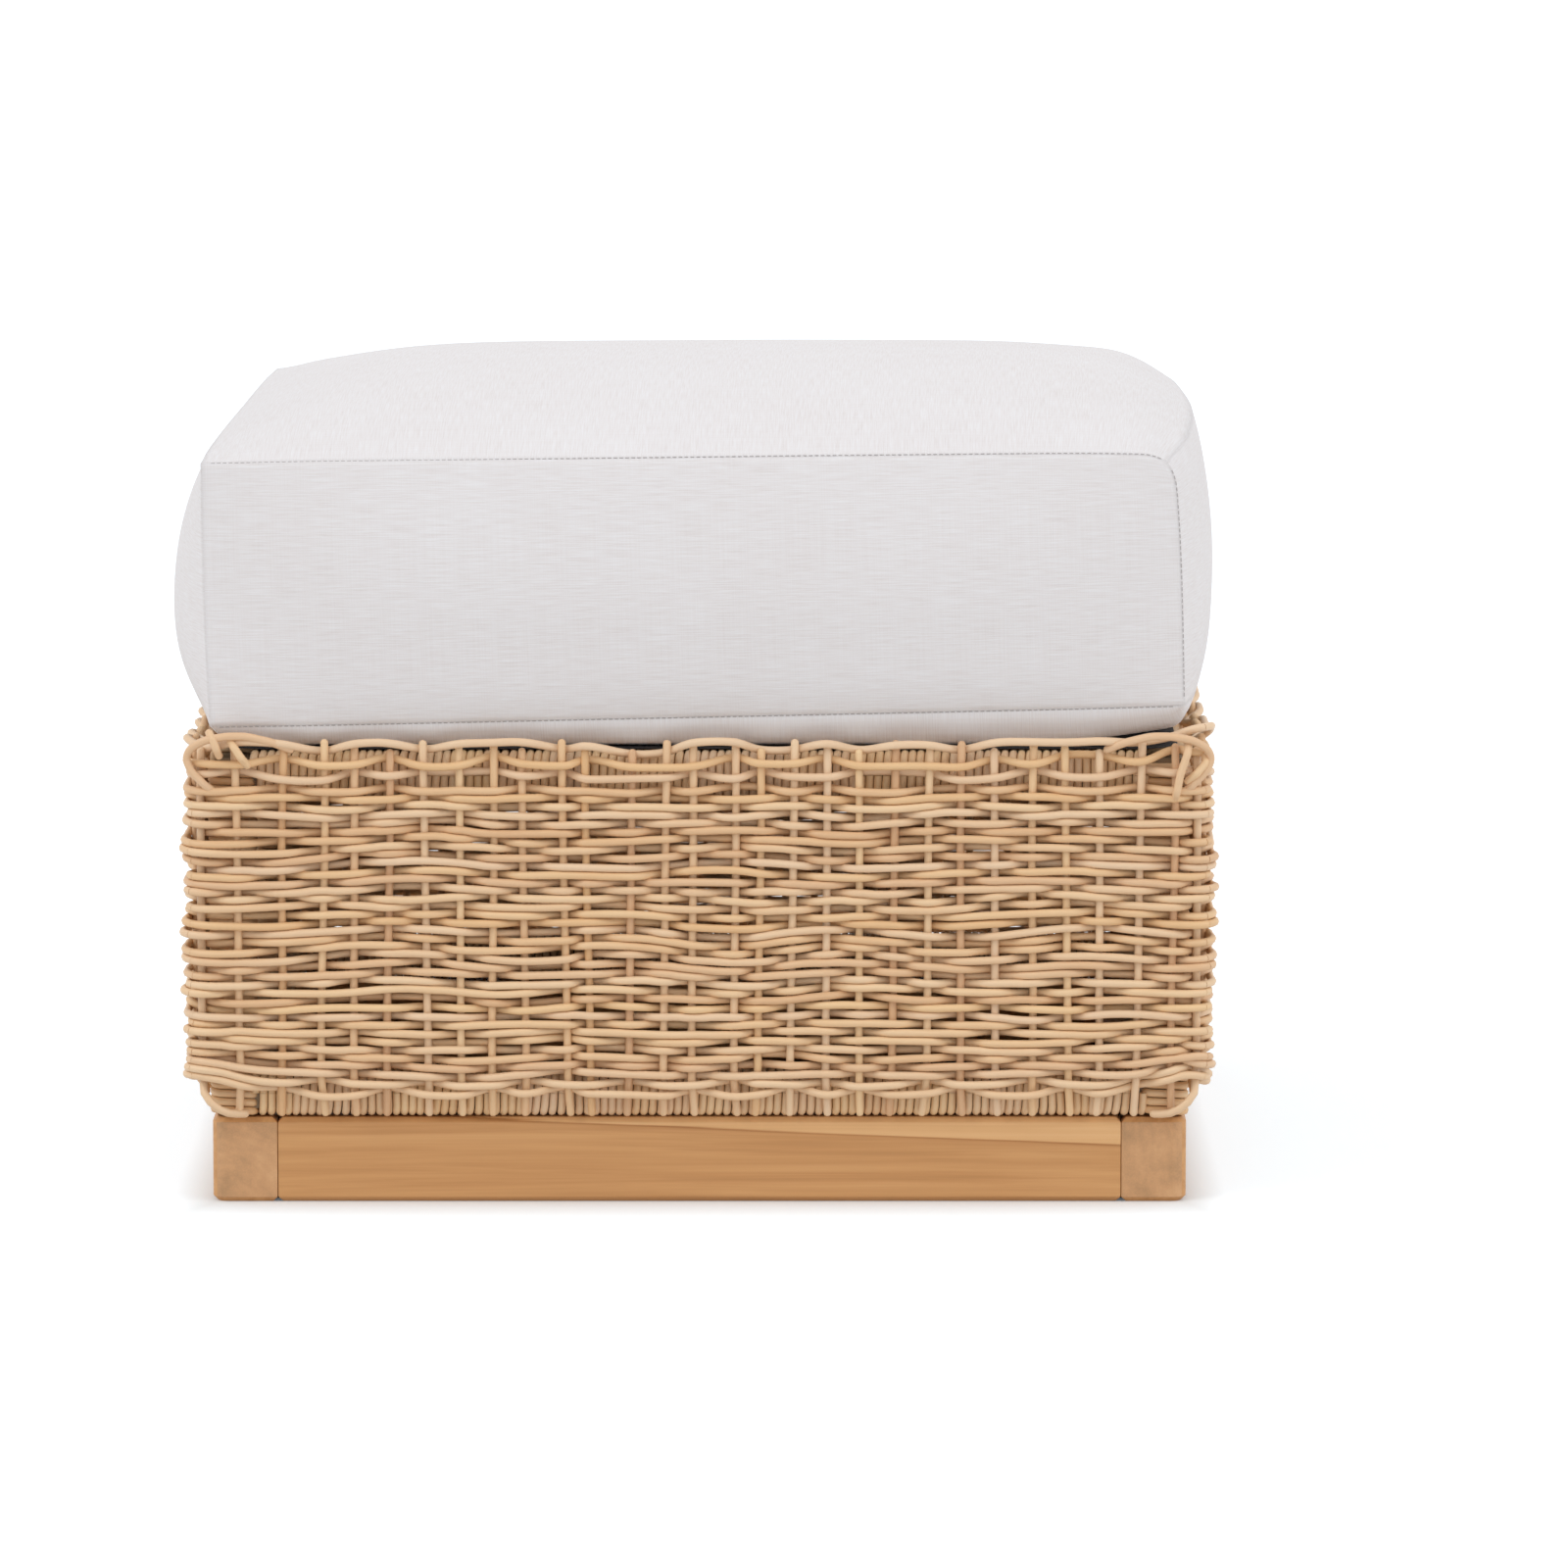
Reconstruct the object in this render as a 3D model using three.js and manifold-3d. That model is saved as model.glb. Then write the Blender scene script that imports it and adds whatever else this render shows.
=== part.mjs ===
import * as THREE from 'three';
import { mergeVertices } from 'three/addons/utils/BufferGeometryUtils.js';
import Module from 'manifold-3d';

const wasm = await Module();
wasm.setup();

// Outdoor ottoman: a loose box cushion on a wicker body that is woven over an aluminium frame,
// standing on a timber plinth. Millimetres, Z up, X to the right, -Y to the front.
// The origin is on the floor under the centre.

// Woven body, outside of the outermost strands
const bodyWidth = 633;
const bodyDepth = 585;
const bodyCornerRadius = 22;
const fitGap = 0.3;
const cutOverrun = 2;

// Resin strand and weave
const strandThickness = 4.8;
const passClearance = 0.4;
const rowCount = 20;
const rowGap = 1.4;
const frontStakeCount = 12;
const sideStakeCount = 10;
const stakeWidth = 8;
const stakeEndMargin = 24;
const rowSkirt = 8;
const rimRise = 2;
const rimWave = 4;
const rowShifts = [0, 1, 2, 0, 2, 1, 1, 0];
const floatPeriod = 3;

// Wrapped rails and posts
const wrapRibDepth = 1.4;
const footRibPitch = 28;
const rimRibPitch = 42;
const postRibPitch = 22;

// Aluminium tube frame
const tubeSize = 20;
const tubeWall = 1.5;
const frameHeight = 217;
const crossBarSpread = 190;

// Timber plinth
const plinthInset = 17;
const plinthHeight = 52.5;
const plinthStock = 40;
const plinthCornerRadius = 9;
const plinthEase = 3;
const tenonLength = 16;
const tenonThickness = 14;
const tenonHeight = 30;

// Bolts and threaded inserts that hold the frame to the plinth
const boltDiameter = 6;
const boltHeadDiameter = 12;
const boltHeadHeight = 4;
const counterboreDiameter = 14;
const counterboreDepth = 7;
const insertFlangeDiameter = 17;
const insertPlugDiameter = 16;
const insertPlugLength = 18;

// Mesh deck
const deckThickness = 1.5;
const deckCornerRadius = 24;
const deckHemWidth = 20;
const deckHemDepth = 0.5;

// Cushion, measured between its seams
const cushionWidth = 590;
const cushionDepth = 536;
const boxingHeight = 161;
const cushionCrown = 45;
const cushionUnderCrown = 24;
const cushionUnderRest = 15;
const sideSwell = 39;
const frontSwell = 28;
const coverWall = 2.4;
const boxingRowShares = [0, 0.2, 0.41, 0.59, 0.8, 1];
const boxingSwellShares = [0, 0.66, 1, 1, 0.66, 0];
const zippedSwellShares = [0, 1, 0.3, 0.3, 1, 0];
const zippedFlatPower = 8;
const crownPower = 3;

// Zip in the back boxing
const zipLength = 380;
const zipTapeHeight = 25;
const zipTapeThickness = 1.4;
const zipCoilHeight = 4;
const zipCoilThickness = 1.6;
const sliderLength = 12;
const sliderHeight = 10;
const sliderThickness = 3.4;
const bridgeLength = 8;
const bridgeHeight = 3;
const bridgeRise = 3.4;
const bridgeBar = 0.9;
const pullLength = 26;
const pullHeight = 7.5;
const pullThickness = 1.2;
const pullEyeLength = 6;
const pullRim = 1.5;

// Round shapes
const smallSides = 8;
const arcSteps = 4;
const crownSteps = 10;
const hiddenSteps = 8;

// Depths below the outside of the weave: outer strand, stake, inner strand, wraps, tube
const passOffset = strandThickness + passClearance;
const stakeDepth = strandThickness / 2 + passOffset;
const innerDepth = stakeDepth + passOffset;
const wrapFaceDepth = innerDepth + strandThickness / 2 + fitGap;
const tubeFaceDepth = wrapFaceDepth + strandThickness + fitGap;
const wrapBackDepth = tubeFaceDepth + tubeSize + fitGap + strandThickness;
const wrapSize = tubeSize + 2 * fitGap + 2 * strandThickness;
const postCentreDepth = tubeFaceDepth + tubeSize / 2;

// Heights
const footWrapLow = plinthHeight + fitGap;
const footTubeLow = footWrapLow + strandThickness + fitGap;
const footWrapHigh = footWrapLow + wrapSize;
const frameTop = footTubeLow + frameHeight;
const rimWrapHigh = frameTop + fitGap + strandThickness;
const rimWrapLow = rimWrapHigh - wrapSize;
const rowsLow = footWrapHigh - rowSkirt;
const rowsHigh = rimWrapHigh + rimRise;
const rowPitch = (rowsHigh - rowsLow) / rowCount;
const deckLow = rimWrapHigh + fitGap;
const deckHigh = deckLow + deckThickness;
const cushionLow = deckHigh + fitGap;
const seamLow = cushionLow + cushionUnderRest;
const seamMiddle = seamLow + boxingHeight / 2;

// Plan sizes
const frameWidth = bodyWidth - 2 * tubeFaceDepth;
const frameDepth = bodyDepth - 2 * tubeFaceDepth;
const plinthWidth = bodyWidth - 2 * plinthInset;
const plinthDepth = bodyDepth - 2 * plinthInset;
const postX = bodyWidth / 2 - postCentreDepth;
const postY = bodyDepth / 2 - postCentreDepth;

// Finishes
const resin = { color: 0xcfa67a, roughness: 0.55, metalness: 0 };
const timber = { color: 0xc29061, roughness: 0.6, metalness: 0 };
const endTimber = { color: 0xb88c62, roughness: 0.65, metalness: 0 };
const aluminium = { color: 0xb9a58c, roughness: 0.45, metalness: 0.4 };
const steel = { color: 0xb4b6b8, roughness: 0.35, metalness: 0.9 };
const nylon = { color: 0x2b2c2f, roughness: 0.6, metalness: 0 };
const meshCloth = { color: 0x33353b, roughness: 0.8, metalness: 0 };
const fabric = { color: 0xe2dfde, roughness: 0.9, metalness: 0 };
const foam = { color: 0xf2eee2, roughness: 1, metalness: 0 };
const zipTapeCloth = { color: 0xd6d3d1, roughness: 0.85, metalness: 0 };

const ottoman = new THREE.Group();

// Adds one named sub-part to the ottoman and returns it, so that it can be placed.
function addPart(name, geometry, finish) {
  const mesh = new THREE.Mesh(geometry, new THREE.MeshStandardMaterial(finish));
  mesh.name = name;
  ottoman.add(mesh);
  return mesh;
}

// Closed mesh to solid, for joining and cutting.
function toSolid(geometry) {
  const bare = geometry.clone();
  bare.deleteAttribute('normal');
  bare.deleteAttribute('uv');
  const merged = mergeVertices(bare);
  const vertProperties = Float32Array.from(merged.attributes.position.array);
  const triVerts = Uint32Array.from(merged.index.array);
  return new wasm.Manifold(new wasm.Mesh({ numProp: 3, vertProperties, triVerts }));
}

// Solid back to a mesh.
function toGeometry(solid) {
  const mesh = solid.getMesh();
  const geometry = new THREE.BufferGeometry();
  geometry.setAttribute('position', new THREE.BufferAttribute(mesh.vertProperties, 3));
  geometry.setIndex(new THREE.BufferAttribute(mesh.triVerts, 1));
  geometry.computeVertexNormals();
  return geometry;
}

// Box with its centre at a given place, as a solid.
function boxSolid(sizeX, sizeY, sizeZ, x, y, z) {
  return toSolid(new THREE.BoxGeometry(sizeX, sizeY, sizeZ).translate(x, y, z));
}

// Upright round bar between two heights, as a solid.
function barSolid(diameter, low, high, x, y) {
  const bar = new THREE.CylinderGeometry(diameter / 2, diameter / 2, high - low, smallSides);
  bar.rotateX(Math.PI / 2);
  bar.translate(x, y, (low + high) / 2);
  return toSolid(bar);
}

// Bends a unit bar through a row of stations. Each station gives the place of a section point
// from its two section coordinates, each between -1 and 1.
function bentBar(stations, sides) {
  const steps = stations.length - 1;
  const bar = new THREE.CylinderGeometry(1, 1, 1, sides, steps);
  const place = bar.attributes.position;
  for (let index = 0; index < place.count; index += 1) {
    const ring = Math.round((0.5 - place.getY(index)) * steps);
    const point = stations[ring](place.getX(index), place.getZ(index));
    place.setXYZ(index, point.x, point.y, point.z);
  }
  bar.computeVertexNormals();
  return bar;
}

// A woven side, built as the front one. "span" is its width and "reach" its distance from the
// centre, both to the outside of the weave. It ends at the 45 degree planes of its corners.
function wovenSide(span, reach, stakeCount) {
  const straight = span / 2 - bodyCornerRadius;
  const stakeRadius = bodyCornerRadius - stakeDepth;
  const halfLength = straight + stakeRadius * Math.PI / 4;
  const firstStake = -span / 2 + wrapBackDepth + stakeEndMargin;
  const stakePitch = -2 * firstStake / (stakeCount - 1);
  return { straight, stakeRadius, halfLength, reach, span, stakeCount, firstStake, stakePitch };
}

// Place on a woven side, from the length along it, the height and the offset out of the stakes.
function onSide(side, along, up, out) {
  const past = Math.max(0, Math.abs(along) - side.straight);
  const turn = past / side.stakeRadius;
  const radius = side.stakeRadius + out;
  const inLine = Math.sign(along) * (Math.min(Math.abs(along), side.straight) + radius * Math.sin(turn));
  const forward = side.reach - bodyCornerRadius + radius * Math.cos(turn);
  return new THREE.Vector3(inLine, -forward, up);
}

// Strand along a row of points on a woven side, mitred where it turns in the plane of the side.
function strandOnSide(side, points, halfWidth) {
  const leftOf = (from, to) => {
    const length = Math.hypot(to.along - from.along, to.up - from.up);
    return { along: -(to.up - from.up) / length, up: (to.along - from.along) / length };
  };
  const stations = points.map((point, index) => {
    const before = index > 0 ? leftOf(points[index - 1], point) : leftOf(point, points[1]);
    const after = index < points.length - 1 ? leftOf(point, points[index + 1]) : before;
    const stretch = 1 + before.along * after.along + before.up * after.up;
    const mitreAlong = halfWidth * (before.along + after.along) / stretch;
    const mitreUp = halfWidth * (before.up + after.up) / stretch;
    return (across, through) => onSide(
      side,
      point.along + across * mitreAlong,
      point.up + across * mitreUp,
      point.out + through * strandThickness / 2,
    );
  });
  return bentBar(stations, 4);
}

// The woven strand of a side: one unbroken strand that runs to and fro and climbs a row at each
// end. It floats in front of two stakes and dips behind the next, shifted from row to row, and
// its last row waves along the rim.
function weaveStrand(side) {
  const halfWidth = (rowPitch - rowGap) / 2;
  const turnAt = side.halfLength - halfWidth - fitGap;
  const cornerAt = turnAt - 2 * halfWidth;
  const points = [];
  for (let row = 0; row < rowCount; row += 1) {
    const up = rowsLow + (row + 0.5) * rowPitch;
    const heading = row % 2 === 0 ? 1 : -1;
    const isRim = row === rowCount - 1;
    points.push({ along: -heading * turnAt, up, out: passOffset });
    points.push({ along: -heading * cornerAt, up, out: passOffset });
    for (let step = 0; step < side.stakeCount; step += 1) {
      const stake = heading > 0 ? step : side.stakeCount - 1 - step;
      const along = side.firstStake + stake * side.stakePitch;
      const behind = (stake + rowShifts[row % rowShifts.length]) % floatPeriod === 0;
      const lift = isRim && !behind ? rimWave : 0;
      points.push({ along, up: up + lift, out: behind ? -passOffset : passOffset });
    }
    points.push({ along: heading * cornerAt, up, out: passOffset });
    points.push({ along: heading * turnAt, up, out: passOffset });
  }
  return strandOnSide(side, points, halfWidth);
}

// Sleeve of strand wound round a square tube, along X, with its ribs and its bore.
function wrapSleeve(length, ribPitch) {
  const ribCount = Math.max(1, Math.round(length / ribPitch));
  const sleeve = new THREE.BoxGeometry(length, wrapSize, wrapSize, 2 * ribCount, 1, 1);
  const place = sleeve.attributes.position;
  for (let index = 0; index < place.count; index += 1) {
    const station = Math.round((place.getX(index) / length + 0.5) * 2 * ribCount);
    const valley = station % 2 === 0 ? 1 - 2 * wrapRibDepth / wrapSize : 1;
    place.setXYZ(index, place.getX(index), place.getY(index) * valley, place.getZ(index) * valley);
  }
  const bore = tubeSize + 2 * fitGap;
  return toSolid(sleeve).subtract(boxSolid(length + cutOverrun, bore, bore, 0, 0, 0));
}

// One stake of a side: it springs from the wrapped foot rail, stands between the rows and leans
// in over the wrapped rim rail.
function stakeSolid(side, along) {
  const rooted = -(wrapFaceDepth + strandThickness / 2 - fitGap - stakeDepth);
  const leaning = -strandThickness / 2;
  const points = [
    { along, up: footWrapLow + strandThickness, out: rooted },
    { along, up: rowsLow, out: 0 },
    { along, up: rowsHigh - rowPitch / 2, out: 0 },
    { along, up: rowsHigh, out: leaning },
  ];
  return toSolid(strandOnSide(side, points, stakeWidth / 2));
}

// Wrapped foot rail of a side with the stakes that spring from it.
function footWrap(side) {
  const length = side.span - 2 * (wrapBackDepth + fitGap);
  const centreY = -(side.reach - wrapFaceDepth - wrapSize / 2);
  let solid = wrapSleeve(length, footRibPitch).translate([0, centreY, footWrapLow + wrapSize / 2]);
  for (let stake = 0; stake < side.stakeCount; stake += 1) {
    solid = solid.add(stakeSolid(side, side.firstStake + stake * side.stakePitch));
  }
  return toGeometry(solid);
}

// Wrapped rim rail of a side.
function rimWrap(side) {
  const length = side.span - 2 * (wrapBackDepth + fitGap);
  const centreY = -(side.reach - wrapFaceDepth - wrapSize / 2);
  const solid = wrapSleeve(length, rimRibPitch).translate([0, centreY, rimWrapLow + wrapSize / 2]);
  return toGeometry(solid);
}

// Square tube with open ends, along Z and centred.
function squareTube(length) {
  const half = tubeSize / 2;
  const bore = half - tubeWall;
  const outline = new THREE.Shape();
  outline.moveTo(-half, -half).lineTo(half, -half).lineTo(half, half).lineTo(-half, half);
  const hole = new THREE.Path();
  hole.moveTo(-bore, -bore).lineTo(-bore, bore).lineTo(bore, bore).lineTo(bore, -bore);
  outline.holes.push(hole);
  const tube = new THREE.ExtrudeGeometry(outline, { depth: length, bevelEnabled: false });
  return tube.translate(0, 0, -length / 2);
}

// Timber rail seen from above, with two rounded corners at its outer side, eased all round.
function timberRail(length, radius) {
  const half = length / 2 - plinthEase;
  const side = plinthStock / 2 - plinthEase;
  const round = Math.max(0, radius - plinthEase);
  const outline = new THREE.Shape();
  outline.moveTo(-half, side);
  outline.lineTo(-half, -side + round);
  if (round > 0) outline.absarc(-half + round, -side + round, round, Math.PI, 1.5 * Math.PI, false);
  outline.lineTo(half - round, -side);
  if (round > 0) outline.absarc(half - round, -side + round, round, 1.5 * Math.PI, 2 * Math.PI, false);
  outline.lineTo(half, side);
  const rail = new THREE.ExtrudeGeometry(outline, {
    depth: plinthHeight - 2 * plinthEase,
    curveSegments: arcSteps,
    bevelThickness: plinthEase,
    bevelSize: plinthEase,
    bevelSegments: 1,
  });
  return rail.translate(0, 0, plinthEase);
}

// The four rails of the plinth. The front and back ones are tenoned into the side ones, whose
// end grain shows at the front and back.
function addPlinth() {
  const between = plinthWidth - 2 * plinthStock - 2 * fitGap;
  const centreY = plinthDepth / 2 - plinthStock / 2;
  const centreX = plinthWidth / 2 - plinthStock / 2;
  const tenon = boxSolid(
    between + 2 * (tenonLength + fitGap), tenonThickness, tenonHeight, 0, 0, plinthHeight / 2);
  const crossRail = toGeometry(toSolid(timberRail(between, 0)).add(tenon));
  addPart('plinth_front_rail', crossRail, timber).position.set(0, -centreY, 0);
  addPart('plinth_back_rail', crossRail, timber).position.set(0, centreY, 0);
  for (const [name, sideways] of [['right', 1], ['left', -1]]) {
    const rail = timberRail(plinthDepth, plinthCornerRadius).rotateZ(sideways * Math.PI / 2);
    let solid = toSolid(rail.translate(sideways * centreX, 0, 0));
    const mortiseX = sideways * (plinthWidth / 2 - plinthStock);
    for (const along of [1, -1]) {
      solid = solid.subtract(boxSolid(
        2 * (tenonLength + fitGap), tenonThickness + 2 * fitGap, tenonHeight + 2 * fitGap,
        mortiseX, along * centreY, plinthHeight / 2));
      const boltX = sideways * postX;
      const boltY = along * postY;
      const through = plinthHeight + cutOverrun;
      solid = solid.subtract(barSolid(boltDiameter + 2 * fitGap, -cutOverrun, through, boltX, boltY));
      solid = solid.subtract(barSolid(counterboreDiameter, -cutOverrun, counterboreDepth, boltX, boltY));
    }
    addPart(`plinth_${name}_rail`, toGeometry(solid), endTimber);
  }
}

// The welded tube frame: four posts, a foot ring, a rim ring and two bars under the deck.
function addFrame() {
  const railZ = [['foot', footTubeLow + tubeSize / 2], ['rim', frameTop - tubeSize / 2]];
  for (const [level, z] of railZ) {
    for (const [name, ahead] of [['front', -1], ['back', 1]]) {
      const rail = squareTube(frameWidth - 2 * tubeSize - 2 * fitGap);
      const mesh = addPart(`frame_${level}_${name}`, rail, aluminium);
      mesh.rotation.y = Math.PI / 2;
      mesh.position.set(0, ahead * postY, z);
    }
    for (const [name, sideways] of [['left', -1], ['right', 1]]) {
      const rail = squareTube(frameDepth - 2 * tubeSize - 2 * fitGap);
      const mesh = addPart(`frame_${level}_${name}`, rail, aluminium);
      mesh.rotation.x = Math.PI / 2;
      mesh.position.set(sideways * postX, 0, z);
    }
  }
  const barLength = bodyDepth - 2 * (wrapBackDepth + fitGap);
  for (const [name, sideways] of [['left', -1], ['right', 1]]) {
    const mesh = addPart(`deck_bar_${name}`, squareTube(barLength), aluminium);
    mesh.rotation.x = Math.PI / 2;
    mesh.position.set(sideways * crossBarSpread / 2, 0, rimWrapHigh - tubeSize / 2);
  }
}

// What each corner holds: the post, its wraps, the corner stake, the insert and the bolt.
function addCorner(name, sideways, ahead) {
  const x = sideways * postX;
  const y = ahead * postY;
  const post = addPart(`frame_post_${name}`, squareTube(frameHeight), aluminium);
  post.position.set(x, y, footTubeLow + frameHeight / 2);

  const clearHeight = frameHeight - 2 * tubeSize - 2 * fitGap;
  const wrap = addPart(`post_wrap_${name}`, toGeometry(wrapSleeve(clearHeight, postRibPitch)), resin);
  wrap.rotation.y = Math.PI / 2;
  wrap.position.set(x, y, footTubeLow + frameHeight / 2);

  addPart(`corner_stake_${name}`, cornerStake(sideways, ahead), resin);
  addPart(`frame_insert_${name}`, frameInsert(), nylon).position.set(x, y, footWrapLow);
  addPart(`frame_bolt_${name}`, frameBolt(), steel).position.set(x, y, 0);
}

// Stake in the corner, inside the turning rows, that curves in at the rim and the foot.
function cornerStake(sideways, ahead) {
  const centreX = sideways * (bodyWidth / 2 - bodyCornerRadius);
  const centreY = ahead * (bodyDepth / 2 - bodyCornerRadius);
  const slant = Math.SQRT1_2;
  const wrapCorner = (bodyCornerRadius - wrapFaceDepth) / slant;
  const postCorner = (bodyCornerRadius - tubeFaceDepth) / slant;
  const standing = wrapCorner + strandThickness / 2 + fitGap;
  const tucked = postCorner + strandThickness / 2 + fitGap;
  const places = [
    [tucked, footWrapLow],
    [(standing + 2 * tucked) / 3, footWrapLow + strandThickness],
    [standing, footTubeLow + tubeSize],
    [standing, frameTop - tubeSize],
    [(standing + tucked) / 2, frameTop],
    [tucked, rowsHigh],
  ];
  const stations = places.map(([radius, up]) => (across, through) => {
    const reach = radius + through * strandThickness / 2;
    const aside = across * stakeWidth / 2;
    const outX = sideways * slant;
    const outY = ahead * slant;
    return new THREE.Vector3(
      centreX + outX * reach + outY * aside, centreY + outY * reach - outX * aside, up);
  });
  return bentBar(stations, 4);
}

// Flanged insert: its plug sits in the post and its flange stands on the plinth.
function frameInsert() {
  const bore = boltDiameter / 2 + fitGap;
  const flange = insertFlangeDiameter / 2;
  const plug = insertPlugDiameter / 2;
  const flangeHeight = footTubeLow - footWrapLow - fitGap;
  const top = flangeHeight + insertPlugLength;
  const profile = [
    [bore, 0], [flange, 0], [flange, flangeHeight], [plug, flangeHeight], [plug, top], [bore, top],
    [bore, 0],
  ];
  const points = profile.map(([radius, up]) => new THREE.Vector2(radius, up));
  return new THREE.LatheGeometry(points, smallSides).rotateX(Math.PI / 2);
}

// Bolt from below through the plinth into the insert, with its head in the counterbore.
function frameBolt() {
  const headHigh = counterboreDepth - fitGap;
  const top = footTubeLow + insertPlugLength - fitGap;
  const profile = [
    [0, headHigh - boltHeadHeight], [boltHeadDiameter / 2, headHigh - boltHeadHeight],
    [boltHeadDiameter / 2, headHigh], [boltDiameter / 2, headHigh], [boltDiameter / 2, top], [0, top],
  ];
  const points = profile.map(([radius, up]) => new THREE.Vector2(radius, up));
  return new THREE.LatheGeometry(points, smallSides).rotateX(Math.PI / 2);
}

// Rounded rectangle centred on the origin.
function roundedOutline(width, depth, radius) {
  const x = width / 2;
  const y = depth / 2;
  const outline = new THREE.Shape();
  outline.moveTo(-x + radius, -y);
  outline.lineTo(x - radius, -y);
  outline.absarc(x - radius, -y + radius, radius, -Math.PI / 2, 0, false);
  outline.absarc(x - radius, y - radius, radius, 0, Math.PI / 2, false);
  outline.absarc(-x + radius, y - radius, radius, Math.PI / 2, Math.PI, false);
  outline.absarc(-x + radius, -y + radius, radius, Math.PI, 1.5 * Math.PI, false);
  return outline;
}

// Flat sheet with rounded corners and a given thickness, from its underside up.
function sheetSolid(width, depth, radius, low, high) {
  const sheet = new THREE.ExtrudeGeometry(roundedOutline(width, depth, radius), {
    depth: high - low, curveSegments: arcSteps, bevelEnabled: false,
  });
  return toSolid(sheet.translate(0, 0, low));
}

// Mesh sheet stretched over the wrapped rim, thinner inside its hem.
function addDeck() {
  const width = bodyWidth - 2 * (wrapFaceDepth + wrapRibDepth);
  const depth = bodyDepth - 2 * (wrapFaceDepth + wrapRibDepth);
  const whole = sheetSolid(width, depth, deckCornerRadius, deckLow, deckHigh);
  const inside = sheetSolid(
    width - 2 * deckHemWidth, depth - 2 * deckHemWidth, deckCornerRadius,
    deckHigh - deckHemDepth, deckHigh + cutOverrun);
  addPart('deck_mesh', toGeometry(whole.subtract(inside)), meshCloth);
}

// Share of a boxing swell at one row of the boxing.
function swellAt(shares, height) {
  return shares[boxingRowShares.indexOf(height)];
}

// Box cushion form: crowned above and below, swollen boxing, straight seams, flat where it
// rests, and straight along the zip in its back. "inset" draws every face in by a wall.
function cushionForm(inset, steps) {
  const rows = boxingRowShares.length - 1;
  const form = new THREE.BoxGeometry(2, 2, 1, steps, steps, rows);
  const place = form.attributes.position;
  const halfX = cushionWidth / 2 - inset;
  const halfY = cushionDepth / 2 - inset;
  const height = boxingHeight - 2 * inset;
  for (let index = 0; index < place.count; index += 1) {
    const u = place.getX(index);
    const v = place.getY(index);
    const share = boxingRowShares[Math.round((place.getZ(index) + 0.5) * rows)];
    const swell = swellAt(boxingSwellShares, share);
    const zipped = swellAt(zippedSwellShares, share);
    const dome = (1 - Math.abs(u) ** crownPower) * (1 - Math.abs(v) ** crownPower);
    const isSide = Math.abs(u) === 1;
    const isFront = v === -1;
    const isBack = v === 1;
    const isZipBand = zipped > 0 && zipped < 1;
    const x = u * halfX + (isSide ? u * sideSwell * swell * (1 - v * v) : 0);
    let y = v * halfY;
    if (isFront) y -= frontSwell * swell * (1 - u * u);
    if (isBack) y += frontSwell * zipped * (isZipBand ? 1 - u ** zippedFlatPower : 1 - u * u);
    let z = (share - 0.5) * height;
    if (share === 1) z += cushionCrown * dome;
    if (share === 0) z -= Math.min(cushionUnderCrown * dome, cushionUnderRest);
    place.setXYZ(index, x, y, z);
  }
  form.computeVertexNormals();
  return form.translate(0, 0, seamMiddle);
}

// Place of the zip's face: the flat band in the back boxing.
const zipBandSwell = frontSwell * zippedSwellShares[2];
const zipFaceY = cushionDepth / 2 + zipBandSwell;
const tapeBackY = zipFaceY - coverWall;
const tapeFaceY = tapeBackY + zipTapeThickness;
const coilBackY = tapeFaceY + fitGap;
const coilFaceY = coilBackY + zipCoilThickness;

// Sewn cover with its foam core and its zip.
function addCushion() {
  const slot = boxSolid(
    zipLength + 2 * fitGap, 4 * coverWall, zipTapeHeight + 2 * fitGap, 0, zipFaceY, seamMiddle);
  const cover = toSolid(cushionForm(0, crownSteps))
    .subtract(toSolid(cushionForm(coverWall, hiddenSteps)))
    .subtract(slot);
  addPart('cushion_cover', toGeometry(cover), fabric);
  addPart('cushion_foam', cushionForm(coverWall + fitGap, hiddenSteps), foam);

  const tape = new THREE.BoxGeometry(zipLength, zipTapeThickness, zipTapeHeight);
  addPart('zip_tape', tape, zipTapeCloth).position.set(0, (tapeBackY + tapeFaceY) / 2, seamMiddle);
  const coil = new THREE.BoxGeometry(zipLength, zipCoilThickness, zipCoilHeight);
  addPart('zip_coil', coil, nylon).position.set(0, (coilBackY + coilFaceY) / 2, seamMiddle);
}

// Slider that straddles the coil, with the bridge that its pull hangs on.
function sliderSolid() {
  const low = coilBackY;
  const high = low + sliderThickness;
  const body = boxSolid(sliderLength, sliderThickness, sliderHeight, 0, (low + high) / 2, 0);
  const groove = boxSolid(
    sliderLength + cutOverrun, 2 * (zipCoilThickness + fitGap), zipCoilHeight + 2 * fitGap, 0, low, 0);
  const bridge = boxSolid(
    bridgeLength, bridgeRise + bridgeBar, bridgeHeight, 0, high + (bridgeRise - bridgeBar) / 2, 0);
  const eye = boxSolid(
    bridgeLength - 2 * bridgeBar, bridgeRise - bridgeBar, bridgeHeight + cutOverrun,
    0, high + (bridgeRise - bridgeBar) / 2, 0);
  return body.subtract(groove).add(bridge.subtract(eye));
}

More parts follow.
